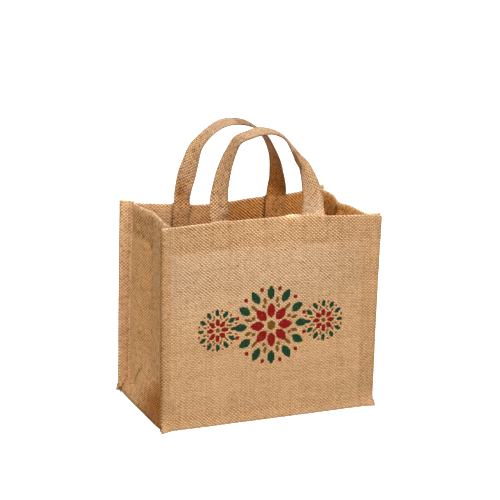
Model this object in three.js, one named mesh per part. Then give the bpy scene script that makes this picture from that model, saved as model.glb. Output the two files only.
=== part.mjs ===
// A jute tote bag that stands by itself: two panels, one gusset strip and two carrying straps.
// Millimetres, with X across the front, Y from front to back and Z up from the floor.
// The seams stand outwards, so each side and the foot end in a flat fin of turned-in cloth.
import * as THREE from 'three';

// Driving dimensions
const bagWidth = 303;
const bagDepth = 172;
const bagHeight = 265;
const cloth = 1.4;
const hemDepth = 36;
const leftSeam = 14.5;
const rightSeam = 17.5;
const footSeam = 14.5;
const sewnGap = 0.5;
const behindPanel = 2 * cloth + sewnGap;
const strapThickness = 2.6;
const strapSewnLength = 33;

// How far the stitched layers step to a single one, and how the gusset turns its corners
const stepLength = 2.5;
const cornerRadius = 3;
const bendRadius = 1.2;
const bendStep = 0.9;
const bendPlump = 0.2;
const finInset = 0.5;
const finLeast = 1.5;
const mouthRounding = 0.35 * cloth;

// Height at which the panels start to bow inwards, and how fast the bow grows above it
const bowStart = 65;
const bowGrowth = 1.5;

// Soft dimples of the standing cloth: their depth, their spans, and the margin without any
const dimple = { depth: 1.1, across: 34, up: 58 };
const sway = { depth: 0.7, across: 70, up: 41 };
const calmMargin = 50;

// Mouth of the front panel: how far it bows into the bag, and how high it stands
const frontMouth = [
  { x: -152, bow: 0, height: 265.5 },
  { x: -112, bow: 7, height: 265 },
  { x: -60, bow: 15, height: 264.5 },
  { x: 0, bow: 18, height: 264 },
  { x: 45, bow: 20, height: 263.3 },
  { x: 80, bow: 13, height: 262.4 },
  { x: 128, bow: 6.5, height: 260.8 },
  { x: 152, bow: 0, height: 260 },
];

// Mouth of the back panel, which the straps have drawn further in
const backMouth = [
  { x: -152, bow: 0, height: 265 },
  { x: -134, bow: 7, height: 264.2 },
  { x: -128, bow: 9, height: 261.6 },
  { x: -108, bow: 13, height: 260 },
  { x: -78, bow: 18.5, height: 258.3 },
  { x: -52, bow: 27, height: 257.2 },
  { x: -28, bow: 31, height: 257.2 },
  { x: 2, bow: 25, height: 257.6 },
  { x: 30, bow: 19, height: 258.8 },
  { x: 62, bow: 17, height: 260 },
  { x: 85, bow: 17, height: 261 },
  { x: 112, bow: 10, height: 262 },
  { x: 152, bow: 0, height: 266 },
];

// How far the panels' foot corners splay out, and over what width and height
const footSplay = { frontLeft: 5.5, frontRight: 2.5, back: 3 };
const earThickness = 5;
const splayWidth = 17;
const splayHeight = 15;
const splayEase = 1.6;

// Upright edges of the two panels
const frontEdges = [
  { z: 0, left: -151.5, right: 152.5 },
  { z: 6, left: -151, right: 151.5 },
  { z: 14, left: -150.7, right: 149.2 },
  { z: 60, left: -150.9, right: 148.4 },
  { z: 150, left: -151.8, right: 149.7 },
  { z: 265, left: -152.1, right: 151.6 },
];
const backEdges = [
  { z: 0, left: -151.8, right: 152 },
  { z: 8, left: -150.8, right: 151 },
  { z: 16, left: -149.8, right: 149 },
  { z: 60, left: -149.9, right: 147.8 },
  { z: 150, left: -149.2, right: 148.2 },
  { z: 265, left: -148.4, right: 148.6 },
];

// The inward crease of each gusset side, and the flat facet below it that flares out to the foot
const sides = {
  left: { way: -1, seam: leftSeam, creaseAt: 0.61, depth: 8.5, bulge: 2.5, apex: 58, footReach: 14 },
  right: { way: 1, seam: rightSeam, creaseAt: 0.5, depth: 4.5, bulge: 4, apex: 64, footReach: 16 },
};
const sideMouth = [
  { v: 0, left: 265.2, right: 260.4 },
  { v: 0.3, left: 263, right: 260.8 },
  { v: 0.6, left: 262, right: 262.6 },
  { v: 0.8, left: 262.3, right: 264.8 },
  { v: 1, left: 264.4, right: 265.6 },
];
const footClearance = 1.2;
const baseRise = 4;
const baseRiseShare = 0.2;
const creaseStart = 40;
const creaseSoftness = 0.03;
const facetSoftness = 1.6;
const facetTuck = 20;
const earPinch = 2;

// Stations of the straps' free arches: the middle of the strap, the turn of its width away from
// the bag's left, seen from above, the lift of its outer edge, and its width. At both ends the
// strap lies flat on its hem.
const frontArch = [
  { x: -68.5, y: -65, z: 277, turn: 34, lift: 0, width: 26 },
  { x: -65, y: -59, z: 300, turn: 58, lift: 0, width: 26 },
  { x: -57, y: -55.5, z: 330, turn: 72, lift: 0, width: 26 },
  { x: -48, y: -54, z: 350, turn: 84, lift: 1, width: 26 },
  { x: -38.5, y: -54, z: 363, turn: 92, lift: 3, width: 26 },
  { x: -24, y: -54, z: 369.5, turn: 95, lift: 3, width: 26 },
  { x: -8, y: -54, z: 372.5, turn: 95, lift: 3, width: 26 },
  { x: 6, y: -55, z: 371.5, turn: 100, lift: 2, width: 26 },
  { x: 22, y: -57, z: 364, turn: 113, lift: 1, width: 26 },
  { x: 37.5, y: -59, z: 348, turn: 130, lift: 0, width: 26 },
  { x: 51, y: -61, z: 325, turn: 149, lift: 0, width: 26 },
  { x: 59.5, y: -63, z: 300, turn: 167, lift: 0, width: 27 },
  { x: 62.5, y: -64.5, z: 280, turn: 178, lift: 0, width: 28.5 },
];
const backArch = [
  { x: -69.5, y: 58, z: 271, turn: 42, lift: 0, width: 26 },
  { x: -69, y: 54.5, z: 284, turn: 52, lift: 0, width: 26 },
  { x: -66.5, y: 52, z: 299, turn: 48, lift: 0, width: 26 },
  { x: -62, y: 50, z: 315, turn: 56, lift: 0, width: 26 },
  { x: -54.5, y: 49, z: 335, turn: 70, lift: 0, width: 26 },
  { x: -44, y: 48, z: 350, turn: 78, lift: 0, width: 26 },
  { x: -33, y: 48, z: 359.5, turn: 85, lift: 2, width: 26 },
  { x: -18, y: 48, z: 366.5, turn: 90, lift: 3, width: 26 },
  { x: -2, y: 48, z: 368.5, turn: 94, lift: 2, width: 26 },
  { x: 14, y: 48, z: 365.5, turn: 98, lift: 0, width: 26 },
  { x: 30, y: 48.5, z: 357.5, turn: 100, lift: -2, width: 26 },
  { x: 43.5, y: 49, z: 345, turn: 97, lift: -3, width: 26 },
  { x: 53, y: 49.5, z: 327, turn: 92, lift: 0, width: 26 },
  { x: 59, y: 50, z: 311, turn: 85, lift: 0, width: 26 },
  { x: 63, y: 51.5, z: 296, turn: 75, lift: 0, width: 26 },
  { x: 65, y: 54.5, z: 283, turn: 60, lift: 0, width: 26 },
  { x: 65.5, y: 58.5, z: 271, turn: 32, lift: 0, width: 26.5 },
];
const strapFreeRise = 1.2;
const sectionsPerStation = 2;
const sewnRises = [-strapSewnLength, -strapSewnLength / 2, -4, strapFreeRise];

// Where the straps are sewn on. The back strap has half a twist, so it turns back at its right end.
const frontRoots = {
  left: { x: -69.5, turn: 0, lift: 0, width: 26 },
  right: { x: 63, turn: 180, lift: 0, width: 30 },
};
const backRoots = {
  left: { x: -69, turn: 0, lift: 0, width: 26 },
  right: { x: 65, turn: 0, lift: 0, width: 27, twisted: true },
};

// Jute colours, as the finished pieces show them
const juteFront = 0xcda277;
const juteBack = 0xc79b6f;
const juteGusset = 0xb98b5d;
const juteStrap = 0xcfa67b;

const mix = (a, b, t) => a + (b - a) * t;
const clamp01 = (t) => Math.min(1, Math.max(0, t));
const smooth = (t) => {
  const c = clamp01(t);
  return c * c * (3 - 2 * c);
};

// Value of one column of a table at a place along its key, on a curve without overshoot
function along(table, key, at, name) {
  const last = table.length - 1;
  if (at <= table[0][key]) return table[0][name];
  if (at >= table[last][key]) return table[last][name];
  const i = table.findIndex((row) => row[key] > at) - 1;
  const slope = (k) => {
    if (k < 1 || k >= last) return 0;
    const before = (table[k][name] - table[k - 1][name]) / (table[k][key] - table[k - 1][key]);
    const after = (table[k + 1][name] - table[k][name]) / (table[k + 1][key] - table[k][key]);
    return before * after <= 0 ? 0 : (2 * before * after) / (before + after);
  };
  const span = table[i + 1][key] - table[i][key];
  const t = (at - table[i][key]) / span;
  const rise = table[i + 1][name] - table[i][name];
  const bend = (1 - t) * slope(i) * span - t * slope(i + 1) * span;
  return table[i][name] + rise * t * t * (3 - 2 * t) + t * (1 - t) * bend;
}

// How much a panel's bow has grown at a height
const bowAt = (z) => Math.max(0, (z - bowStart) / (bagHeight - bowStart)) ** bowGrowth;

// A foot corner splays out of its panel, most at the very corner
function splay(x, z) {
  const across = clamp01(1 - (bagWidth / 2 - Math.abs(x)) / splayWidth);
  const up = clamp01(1 - z / splayHeight);
  return across * up;
}

// Soft unevenness of the standing cloth, gone where the panel is sewn at its edges
function ripple(x, z, phase) {
  const inner = smooth((bagWidth / 2 - Math.abs(x)) / calmMargin) * smooth(z / calmMargin);
  const dimples = Math.sin(x / dimple.across + phase) * Math.cos(z / dimple.up + phase);
  return inner * (dimple.depth * dimples + sway.depth * Math.sin(z / sway.up - x / sway.across));
}

// Outer faces of the two panels
function frontFace(x, z) {
  const amount = x < 0 ? footSplay.frontLeft : footSplay.frontRight;
  const bow = along(frontMouth, 'x', x, 'bow') * bowAt(z);
  return -bagDepth / 2 + bow - amount * splay(x, z) + ripple(x, z, 0.6);
}
function backFace(x, z) {
  const bow = along(backMouth, 'x', x, 'bow') * bowAt(z);
  return bagDepth / 2 - bow + footSplay.back * splay(x, z) + ripple(x, z, 2.1);
}

const panels = {
  front: { face: frontFace, inward: 1, mouth: frontMouth, edges: frontEdges },
  back: { face: backFace, inward: -1, mouth: backMouth, edges: backEdges },
};

// Steps across a panel between its margins and along the gusset's base, and the gusset's turns
// round a foot corner in degrees
const panelSteps = 22;
const baseSteps = 16;
const cornerTurns = [18, 36, 45, 54, 72];

// Levels up the bag as shares of its height, close together where a layer ends
const levels = [
  0, 5, 10, footSeam, footSeam + stepLength, 30, 44, 58, 76, 94, 112, 130, 148, 166, 184, 202, 216,
  bagHeight - hemDepth - stepLength, bagHeight - hemDepth, 238, 247, 256, bagHeight - 1.2, bagHeight,
].map((z) => z / bagHeight);

// Number of cloth layers at a distance from the left edge, from the right edge and up the bag
function layers(fromLeft, fromRight, share) {
  const left = 1 - clamp01((fromLeft - leftSeam) / stepLength);
  const right = 1 - clamp01((fromRight - rightSeam) / stepLength);
  const foot = 1 - clamp01((share * bagHeight - footSeam) / stepLength);
  return 1 + Math.max(left, right, foot, hemLayer(share));
}
const hemLayer = (share) => clamp01((hemDepth + stepLength - (1 - share) * bagHeight) / stepLength);

// A closed sheet of cloth from the two faces of one grid of points
function sheetGeometry(outside, inside) {
  const rows = outside.length;
  const columns = outside[0].length;
  const points = [...outside.flat(), ...inside.flat()];
  const at = (face, r, c) => face * rows * columns + r * columns + c;
  const faces = [];
  const quad = (a, b, c, d) => faces.push(a, b, c, a, c, d);
  for (let r = 0; r < rows - 1; r++) {
    for (let c = 0; c < columns - 1; c++) {
      quad(at(0, r, c), at(0, r, c + 1), at(0, r + 1, c + 1), at(0, r + 1, c));
      quad(at(1, r, c), at(1, r + 1, c), at(1, r + 1, c + 1), at(1, r, c + 1));
    }
  }
  const [bottom, top, start, end] = [0, rows - 1, 0, columns - 1];
  for (let r = 0; r < rows - 1; r++) {
    quad(at(0, r, start), at(0, r + 1, start), at(1, r + 1, start), at(1, r, start));
    quad(at(0, r + 1, end), at(0, r, end), at(1, r, end), at(1, r + 1, end));
  }
  for (let c = 0; c < columns - 1; c++) {
    quad(at(0, bottom, c + 1), at(0, bottom, c), at(1, bottom, c), at(1, bottom, c + 1));
    quad(at(0, top, c), at(0, top, c + 1), at(1, top, c + 1), at(1, top, c));
  }
  return solid(points, faces);
}

// A geometry whose faces point out, whichever way round the grid was walked
function solid(points, faces) {
  let volume = 0;
  for (let f = 0; f < faces.length; f += 3) {
    const [a, b, c] = [points[faces[f]], points[faces[f + 1]], points[faces[f + 2]]];
    volume += a.dot(b.clone().cross(c));
  }
  const turned = volume > 0 ? faces : faces.slice().reverse();
  const geometry = new THREE.BufferGeometry();
  const positions = points.flatMap((point) => point.toArray());
  geometry.setAttribute('position', new THREE.Float32BufferAttribute(positions, 3));
  geometry.setIndex(turned);
  geometry.computeVertexNormals();
  return geometry;
}

// One panel: its outer face, and the inner face behind one layer or two
function panelGeometry({ face, inward, mouth, edges }) {
  const columns = panelColumns();
  const outside = [];
  const inside = [];
  for (const share of levels) {
    const outer = [];
    const inner = [];
    for (const column of columns) {
      const level = share * bagHeight;
      const left = along(edges, 'z', level, 'left');
      const right = along(edges, 'z', level, 'right');
      const x = column(left, right);
      const z = share * along(mouth, 'x', x, 'height');
      const y = face(x, z);
      const thickness = cloth * layers(x - left, right - x, share);
      const rounded = share === 1 ? mouthRounding : 0;
      outer.push(new THREE.Vector3(x, y + inward * rounded, z));
      inner.push(new THREE.Vector3(x, y + inward * (thickness - rounded), z));
    }
    outside.push(outer);
    inside.push(inner);
  }
  return sheetGeometry(outside, inside);
}

// Columns across a panel, from its edges at one level: the two seam margins and even steps between
function panelColumns() {
  const inner = Array.from({ length: panelSteps - 1 }, (_, i) => (i + 1) / panelSteps);
  const margin = [0, 1 / 3, 2 / 3, 1];
  const leftMargin = [...margin, 1 + stepLength / leftSeam];
  const rightMargin = [...margin, 1 + stepLength / rightSeam].reverse();
  return [
    ...leftMargin.map((at) => (left) => left + at * leftSeam),
    ...inner.map((at) => (left, right) => mix(left + leftSeam, right - rightSeam, at)),
    ...rightMargin.map((at) => (left, right) => right - at * rightSeam),
  ];
}

// Upright edge of the bag at a height, between its front panel and its back panel
function edgeAt(z, name, v) {
  return mix(along(frontEdges, 'z', z, name), along(backEdges, 'z', z, name), v);
}

// Where the gusset's wall bends into its seam, at one row and one share v from front to back
function bendPoint(row, v) {
  const cornerZ = footSeam + cornerRadius;
  const cornerX = (name) => {
    const toSeam = sides[name].seam + cornerRadius;
    return edgeAt(cornerZ, name, v) - sides[name].way * toSeam;
  };
  if (row.kind === 'base') return { x: mix(cornerX('left'), cornerX('right'), row.at), z: footSeam };
  if (row.kind === 'corner') {
    return {
      x: cornerX(row.name) + cornerRadius * row.out.x,
      z: cornerZ + cornerRadius * row.out.z,
    };
  }
  const level = row.share * bagHeight;
  const risen = (level - cornerZ) / (bagHeight - cornerZ);
  return {
    x: edgeAt(level, row.name, v) - sides[row.name].way * sides[row.name].seam,
    z: mix(cornerZ, along(sideMouth, 'v', v, row.name), risen),
  };
}

// Outward reach of the gusset's wall from its bend at one row: the crease, the facet and the base
function wallReach(row, v) {
  const middle = 1 - Math.abs(2 * v - 1) ** 4;
  if (row.kind === 'side') return sideReach(sides[row.name], bendPoint(row, v).z, v, middle);
  if (row.kind === 'corner') return cornerReach(sides[row.name], row, v, middle);
  const toEnd = Math.min(row.at, 1 - row.at);
  return (footSeam - footClearance - baseRise * smooth(toEnd / baseRiseShare)) * middle;
}

// Outward slope of a side's foot facet, and the facet's reach at a height
const facetSlope = (side) => (side.depth + side.footReach) / (side.apex - footClearance);
const facetReach = (side, z) => -side.depth + facetSlope(side) * (side.apex - z);

// A side's wall folds in at its crease, bulges beside its seams and meets the facet below
function sideReach(side, z, v, middle) {
  const room = v < side.creaseAt ? side.creaseAt : 1 - side.creaseAt;
  const away = Math.abs(v - side.creaseAt) / room;
  const fold = side.depth * (Math.hypot(away, creaseSoftness) - 1);
  const crease = (fold + side.bulge * Math.sin(Math.PI * away * away)) * smooth(z / creaseStart);
  const tucked = facetTuck * (1 - middle) * smooth((z - facetTuck) / facetTuck);
  return softMax(crease, facetReach(side, z) * middle - tucked);
}

// At a foot corner the wall reaches out to its facet or down to the floor, and to the seam's tip
function cornerReach(side, row, v, middle) {
  const bend = bendPoint(row, v);
  const outward = Math.abs(row.out.x);
  const closing = outward + facetSlope(side) * row.out.z;
  const toFacet = facetReach(side, bend.z) - cornerRadius * (outward - 1);
  const toFloor = (bend.z - footClearance) / -row.out.z;
  const meetsFacet = closing > 0.05;
  const full = meetsFacet ? Math.min(toFacet / closing, toFloor) : toFloor;
  const folded = finReach(row, v) * Math.sin(2 * row.angle) ** 2 - earPinch;
  return mix(Math.max(0, folded), full, middle);
}

function softMax(a, b) {
  const near = Math.max(0, 1 - Math.abs(a - b) / (2 * facetSoftness));
  return Math.max(a, b) + 0.5 * facetSoftness * near * near;
}

// Outward reach of the seam fin's edge: the upright edge beside it, or the floor below it
function finReach(row, v) {
  if (row.kind === 'side') return sides[row.name].seam - finInset;
  if (row.kind === 'base') return footSeam - finInset;
  const bend = bendPoint(row, v);
  const toEdge = Math.abs(edgeAt(splayHeight, row.name, v)) - finInset - Math.abs(bend.x);
  const toFloor = bend.z - finInset;
  return Math.min(toEdge / Math.abs(row.out.x), toFloor / Math.abs(row.out.z));
}

// Rows of the gusset strip, from its left mouth down, along the base and up to its right mouth
function gussetRows() {
  const cornerShare = (footSeam + cornerRadius) / bagHeight;
  const upright = [cornerShare, ...levels.filter((share) => share > cornerShare + 0.01)];
  const turns = cornerTurns.map((degrees) => THREE.MathUtils.degToRad(degrees));
  const sideRow = (name) => (share) => ({
    kind: 'side', name, share, out: { x: sides[name].way, z: 0 },
  });
  const cornerRow = (name) => (angle) => ({
    kind: 'corner', name, angle, out: { x: sides[name].way * Math.cos(angle), z: -Math.sin(angle) },
  });
  const shares = Array.from({ length: baseSteps + 1 }, (_, i) => i / baseSteps);
  const base = shares.map((at) => ({ kind: 'base', at, out: { x: 0, z: -1 } }));
  return [
    ...upright.slice().reverse().map(sideRow('left')),
    ...turns.map(cornerRow('left')),
    ...base,
    ...turns.slice().reverse().map(cornerRow('right')),
    ...upright.map(sideRow('right')),
  ];
}

// One row of the gusset, from the front fin over the wall to the back fin, as two faces
function gussetSection(row) {
  const wall = cloth * (1 + (row.kind === 'side' ? hemLayer(row.share) : 0));
  const outer = [];
  const inner = [];
  const place = (v, reach) => {
    const bend = bendPoint(row, v);
    return [bend.x + row.out.x * reach, bend.z + row.out.z * reach];
  };
  const put = (list, v, reach, y) => {
    const [x, z] = place(v, reach);
    list.push(new THREE.Vector3(x, y, z));
  };
  const splayAt = (v, reach) => splay(...place(v, reach));
  const sewnFace = (panel, v, reach) =>
    panel.face(...place(v, reach)) + panel.inward * (behindPanel + splayEase * splayAt(v, reach));
  const finPair = (panel, v, reach, plump) => {
    const near = sewnFace(panel, v, reach);
    const thick = 2 * cloth + plump + earThickness * splayAt(v, reach);
    put(outer, v, reach, near + panel.inward * thick);
    put(inner, v, reach - plump, near);
  };
  const bendPair = (panel, v, reach) => {
    const near = sewnFace(panel, v, reach);
    put(outer, v, reach, near + panel.inward * (2 * cloth + bendRadius));
    put(inner, v, reach - wall, near + panel.inward * bendStep);
  };
  const [frontTip, backTip] = [finReach(row, 0), finReach(row, 1)];
  const frontFold = Math.min(Math.max(0, wallReach(row, 0)), frontTip - finLeast);
  const backFold = Math.min(Math.max(0, wallReach(row, 1)), backTip - finLeast);
  const wallFront = sewnFace(panels.front, 0, frontFold) + 2 * cloth + bendRadius;
  const wallBack = sewnFace(panels.back, 1, backFold) - 2 * cloth - bendRadius;
  finPair(panels.front, 0, frontTip, 0);
  for (const share of [2 / 3, 1 / 3]) finPair(panels.front, 0, mix(frontFold, frontTip, share), 0);
  finPair(panels.front, 0, frontFold + bendStep, bendPlump);
  bendPair(panels.front, 0, frontFold);
  for (const v of wallShares(row)) {
    const reach = wallReach(row, v);
    put(outer, v, reach, mix(wallFront, wallBack, v));
    put(inner, v, reach - wall, mix(wallFront, wallBack, v));
  }
  bendPair(panels.back, 1, backFold);
  finPair(panels.back, 1, backFold + bendStep, bendPlump);
  for (const share of [1 / 3, 2 / 3]) finPair(panels.back, 1, mix(backFold, backTip, share), 0);
  finPair(panels.back, 1, backTip, 0);
  return { outer, inner };
}

// Shares of the depth at which the wall has points, with three close ones at its crease
function wallShares(row) {
  const across = mix(sides.left.creaseAt, sides.right.creaseAt, row.at);
  const crease = row.kind === 'base' ? across : sides[row.name].creaseAt;
  return [0.04, 0.12, 0.26, 0.4, crease - 0.05, crease, crease + 0.05, 0.74, 0.88, 0.96];
}

function gussetGeometry() {
  const sections = gussetRows().map(gussetSection);
  return sheetGeometry(sections.map((s) => s.outer), sections.map((s) => s.inner));
}

// Points across a strap, as shares of its half width and of its half thickness
const strapSection = [
  { across: -1, through: 0.45 }, { across: -0.93, through: 1 }, { across: -0.3, through: 1 },
  { across: 0.3, through: 1 }, { across: 0.93, through: 1 }, { across: 1, through: 0.45 },
];

// A strap's section where it is sewn flat on the inside of the hem, at a height from the mouth
function sewnSection(panel, root, rise) {
  const way = root.turn === 0 ? -1 : 1;
  const half = strapThickness / 2;
  const near = [];
  const far = [];
  for (const { across, through } of strapSection) {
    const x = root.x + way * across * root.width / 2;
    const z = along(panel.mouth, 'x', x, 'height') + rise;
    const y = panel.face(x, z) + panel.inward * behindPanel;
    near.push(new THREE.Vector3(x, y + panel.inward * half * (1 - through), z));
    far.push(new THREE.Vector3(x, y + panel.inward * half * (1 + through), z));
  }
  return root.twisted ? { outer: far, inner: near } : { outer: near, inner: far };
}

// A strap's section on its free arch, turned with its width and square to its run
function freeSection(station, run, facing) {
  const angle = THREE.MathUtils.degToRad(station.turn);
  const width = new THREE.Vector3(-Math.cos(angle), Math.sin(angle), station.lift / station.width);
  width.addScaledVector(run, -width.dot(run)).normalize();
  const normal = run.clone().cross(width).multiplyScalar(facing);
  const outer = [];
  const inner = [];
  for (const { across, through } of strapSection) {
    const point = station.middle.clone().addScaledVector(width, across * station.width / 2);
    const half = strapThickness / 2 * through;
    outer.push(point.clone().addScaledVector(normal, half));
    inner.push(point.clone().addScaledVector(normal, -half));
  }
  return { outer, inner };
}

// A whole strap: sewn on at the left, over its arch, and sewn on at the right
function strapGeometry(panel, roots, arch) {
  const rootStation = (root) => {
    const z = along(panel.mouth, 'x', root.x, 'height') + strapFreeRise;
    const y = panel.face(root.x, z) + panel.inward * (behindPanel + strapThickness / 2);
    return { ...root, y, z };
  };
  const stations = [rootStation(roots.left), ...arch, rootStation(roots.right)];
  const rows = stations.map((row, step) => ({ ...row, step }));
  const route = rows.map((row) => new THREE.Vector3(row.x, row.y, row.z));
  const curve = new THREE.CatmullRomCurve3(route, false, 'centripetal');
  const steps = (rows.length - 1) * sectionsPerStation;
  const sections = sewnRises.map((rise) => sewnSection(panel, roots.left, rise));
  for (let i = 1; i < steps; i++) {
    const step = i / sectionsPerStation;
    const station = { middle: curve.getPoint(i / steps) };
    for (const name of ['turn', 'lift', 'width']) station[name] = along(rows, 'step', step, name);
    sections.push(freeSection(station, curve.getTangent(i / steps), panel.inward));
  }
  for (const rise of sewnRises.slice().reverse()) {
    sections.push(sewnSection(panel, roots.right, rise));
  }
  return sheetGeometry(sections.map((s) => s.outer), sections.map((s) => s.inner));
}

function piece(name, geometry, color) {
  const material = new THREE.MeshStandardMaterial({ color, roughness: 0.92, metalness: 0 });
  const mesh = new THREE.Mesh(geometry, material);
  mesh.name = name;
  return mesh;
}

const bag = new THREE.Group();
bag.add(piece('front_panel', panelGeometry(panels.front), juteFront));
bag.add(piece('back_panel', panelGeometry(panels.back), juteBack));
bag.add(piece('gusset', gussetGeometry(), juteGusset));
bag.add(piece('front_handle', strapGeometry(panels.front, frontRoots, frontArch), juteStrap));
bag.add(piece('back_handle', strapGeometry(panels.back, backRoots, backArch), juteStrap));

// The origin is on the floor, under the middle of the whole bag
const bounds = new THREE.Box3().setFromObject(bag);
const middle = bounds.getCenter(new THREE.Vector3());
bag.position.set(-middle.x, -middle.y, -bounds.min.z);

export default bag;
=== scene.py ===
"""A jute tote bag that stands by itself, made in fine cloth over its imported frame.

The tables hold millimetres in the bag's own axes: X across the front, Y from front to back, Z up.
Every sewn piece is a closed sheet: a grid on its outer face, a copy on its inner face, and a rim.
"""
import math
from dataclasses import dataclass

import bmesh
import bpy
from bpy.props import FloatProperty, FloatVectorProperty, PointerProperty
from bpy.types import Operator, Panel, PropertyGroup
from mathutils import Matrix, Vector, noise


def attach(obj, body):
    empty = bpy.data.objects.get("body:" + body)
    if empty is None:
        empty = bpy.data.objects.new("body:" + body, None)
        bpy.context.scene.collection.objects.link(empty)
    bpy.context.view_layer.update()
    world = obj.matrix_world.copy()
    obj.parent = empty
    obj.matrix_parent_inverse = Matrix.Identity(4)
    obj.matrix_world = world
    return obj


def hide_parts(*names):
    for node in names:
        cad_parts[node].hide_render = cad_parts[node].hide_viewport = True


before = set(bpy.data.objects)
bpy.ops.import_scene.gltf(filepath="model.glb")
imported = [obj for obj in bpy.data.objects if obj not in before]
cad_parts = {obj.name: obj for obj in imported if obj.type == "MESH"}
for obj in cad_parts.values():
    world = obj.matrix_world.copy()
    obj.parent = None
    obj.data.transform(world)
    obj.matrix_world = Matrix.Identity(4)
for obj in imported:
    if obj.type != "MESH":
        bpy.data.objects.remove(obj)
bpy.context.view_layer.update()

bl_info = {
    "name": "Jute tote bag",
    "version": (1, 0, 0),
    "blender": (4, 5, 0),
    "location": "3D View > Sidebar > Jute bag",
    "description": "Makes the cloth, the sewing and the stage of a standing jute tote bag",
    "category": "Add Mesh",
}

# Units, and the way from the tables' axes to the frame's
MM = 0.001
TO_FRAME = Vector((-0.2, 1.25, 0.0))

# Driving sizes
BAG_WIDTH = 303
BAG_DEPTH = 172
BAG_HEIGHT = 265
CLOTH = 1.4
HEM_DEPTH = 36
HEM_STITCH = 33.5
LEFT_SEAM = 14.5
RIGHT_SEAM = 17.5
FOOT_SEAM = 14.5
BEHIND_PANEL = 2 * CLOTH + 0.5
STRAP_THICKNESS = 2.6
STRAP_SEWN = 33
STRAP_BEHIND = BEHIND_PANEL + 0.9

# How the stitched layers step down, and how the gusset turns into its seams
STEP_LENGTH = 2.5
CORNER_RADIUS = 3
OUTER_BEND = 1.1
INNER_BEND = 2.1
FIN_INSET = 0.5
FIN_LEAST = 1.5
BEND_TURNS = (0, 30, 60, 90)
BEND_SEAM = 0.2
FIN_STEPS = 5
FIN_STITCH = 3
FIN_PRESS = 0.3
CORNER_TURNS = range(9, 90, 9)

# Distances from a rim at which a sheet has close rows, the usual row spacings, and the share of
# its thickness that a rim keeps
CLOSE_ROWS = (0, 0.12, 0.4, 0.9, 1.6)
PANEL_STEP = 2.3
SIDE_STEP = 2.6
BASE_STEP = 3.4
STRAP_STEP = 2.4
RIM_LEAST = 0.3


def table(columns, *rows):
    """A short table as one dict for each row, keyed by the names of its columns."""
    names = columns.split()
    return [dict(zip(names, row)) for row in rows]


# Mouth of each panel: how far it bows into the bag, and how high it stands
BOW_START = 65
BOW_GROWTH = 1.5
FRONT_MOUTH = table(
    "x bow height",
    (-152, 0, 265.5), (-112, 7, 265), (-60, 15, 264.5), (0, 18, 264),
    (45, 20, 263.3), (80, 13, 262.4), (128, 6.5, 261.4), (143, 2, 261.2), (152, 0, 260),
)
BACK_MOUTH = table(
    "x bow height",
    (-152, 0, 265), (-134, 7, 264.2), (-128, 9, 261.6), (-108, 13, 260), (-78, 18.5, 258.3),
    (-52, 27, 257.2), (-28, 31, 257.2), (2, 25, 257.6), (30, 19, 258.8), (62, 17, 260),
    (85, 17, 261), (112, 10, 262), (152, 0, 266),
)

# Upright edges of each panel
FRONT_EDGES = table(
    "z left right",
    (0, -151.5, 152.5), (6, -151, 151.5), (14, -150.7, 149.2), (60, -150.9, 149.4),
    (150, -151.8, 150.3), (265, -152.1, 151.9),
)
BACK_EDGES = table(
    "z left right",
    (0, -151.8, 152), (8, -150.8, 151), (16, -149.8, 149), (60, -149.9, 147.8),
    (150, -149.2, 148.2), (265, -148.4, 148.6),
)

# Soft dimples of the standing cloth, and the margin without any
DIMPLE = {"depth": 1.1, "across": 34, "up": 58}
SWAY = {"depth": 0.7, "across": 70, "up": 41}
CALM_MARGIN = 50

# How the foot corners splay out, at the left and at the right of each panel
FRONT_SPLAY = (5.5, 2.5)
BACK_SPLAY = (3, 3)
SPLAY_WIDTH = 17
SPLAY_HEIGHT = 15
SPLAY_EASE = 1.6
EAR_THICKNESS = {"front": 5, "back": 8.5}
EAR_PINCH = 2

# Each gusset side: its inward crease, and the flat facet below that flares out to the foot
SIDES = {
    "left": {"way": -1, "seam": LEFT_SEAM, "crease": 0.61, "depth": 8.5, "flare": 0,
             "front_bulge": 2.5, "back_bulge": 2.5, "peak": 2, "apex": 58, "foot": 14},
    "right": {"way": 1, "seam": RIGHT_SEAM, "crease": 0.5, "depth": 5.5, "flare": 5,
              "front_bulge": 0.5, "back_bulge": 6.5, "peak": 1, "apex": 64, "foot": 16},
}
SIDE_MOUTH = table(
    "v left right",
    (0, 265.2, 262.2), (0.25, 263.2, 263), (0.47, 262.3, 261.4), (0.6, 262, 263.2),
    (0.73, 262.1, 264.5), (0.86, 262.8, 265.4), (1, 264.4, 265.8),
)
FOOT_CLEARANCE = 1.2
BASE_RISE = 4
BASE_RISE_SHARE = 0.2
CREASE_START = 40
CREASE_SOFTNESS = 0.03
FLARE_START = 238
FACET_SOFTNESS = 1.6
FACET_TUCK = 20
TUCK_RISE = (4, 9)
EAR_FOLD_FROM = 0.66

# The gusset's wall between its seams: its margins, its columns before and after the crease, how
# they crowd at their ends, and its unevenness on the sides and at the foot
WALL_MARGIN = 0.02
WALL_COLUMNS = (24, 20)
CROWDING = 0.6
WALL_CALM = 0.08
WALL_CREASING = 1.3
FOOT_CREASING = 0.52

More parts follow.
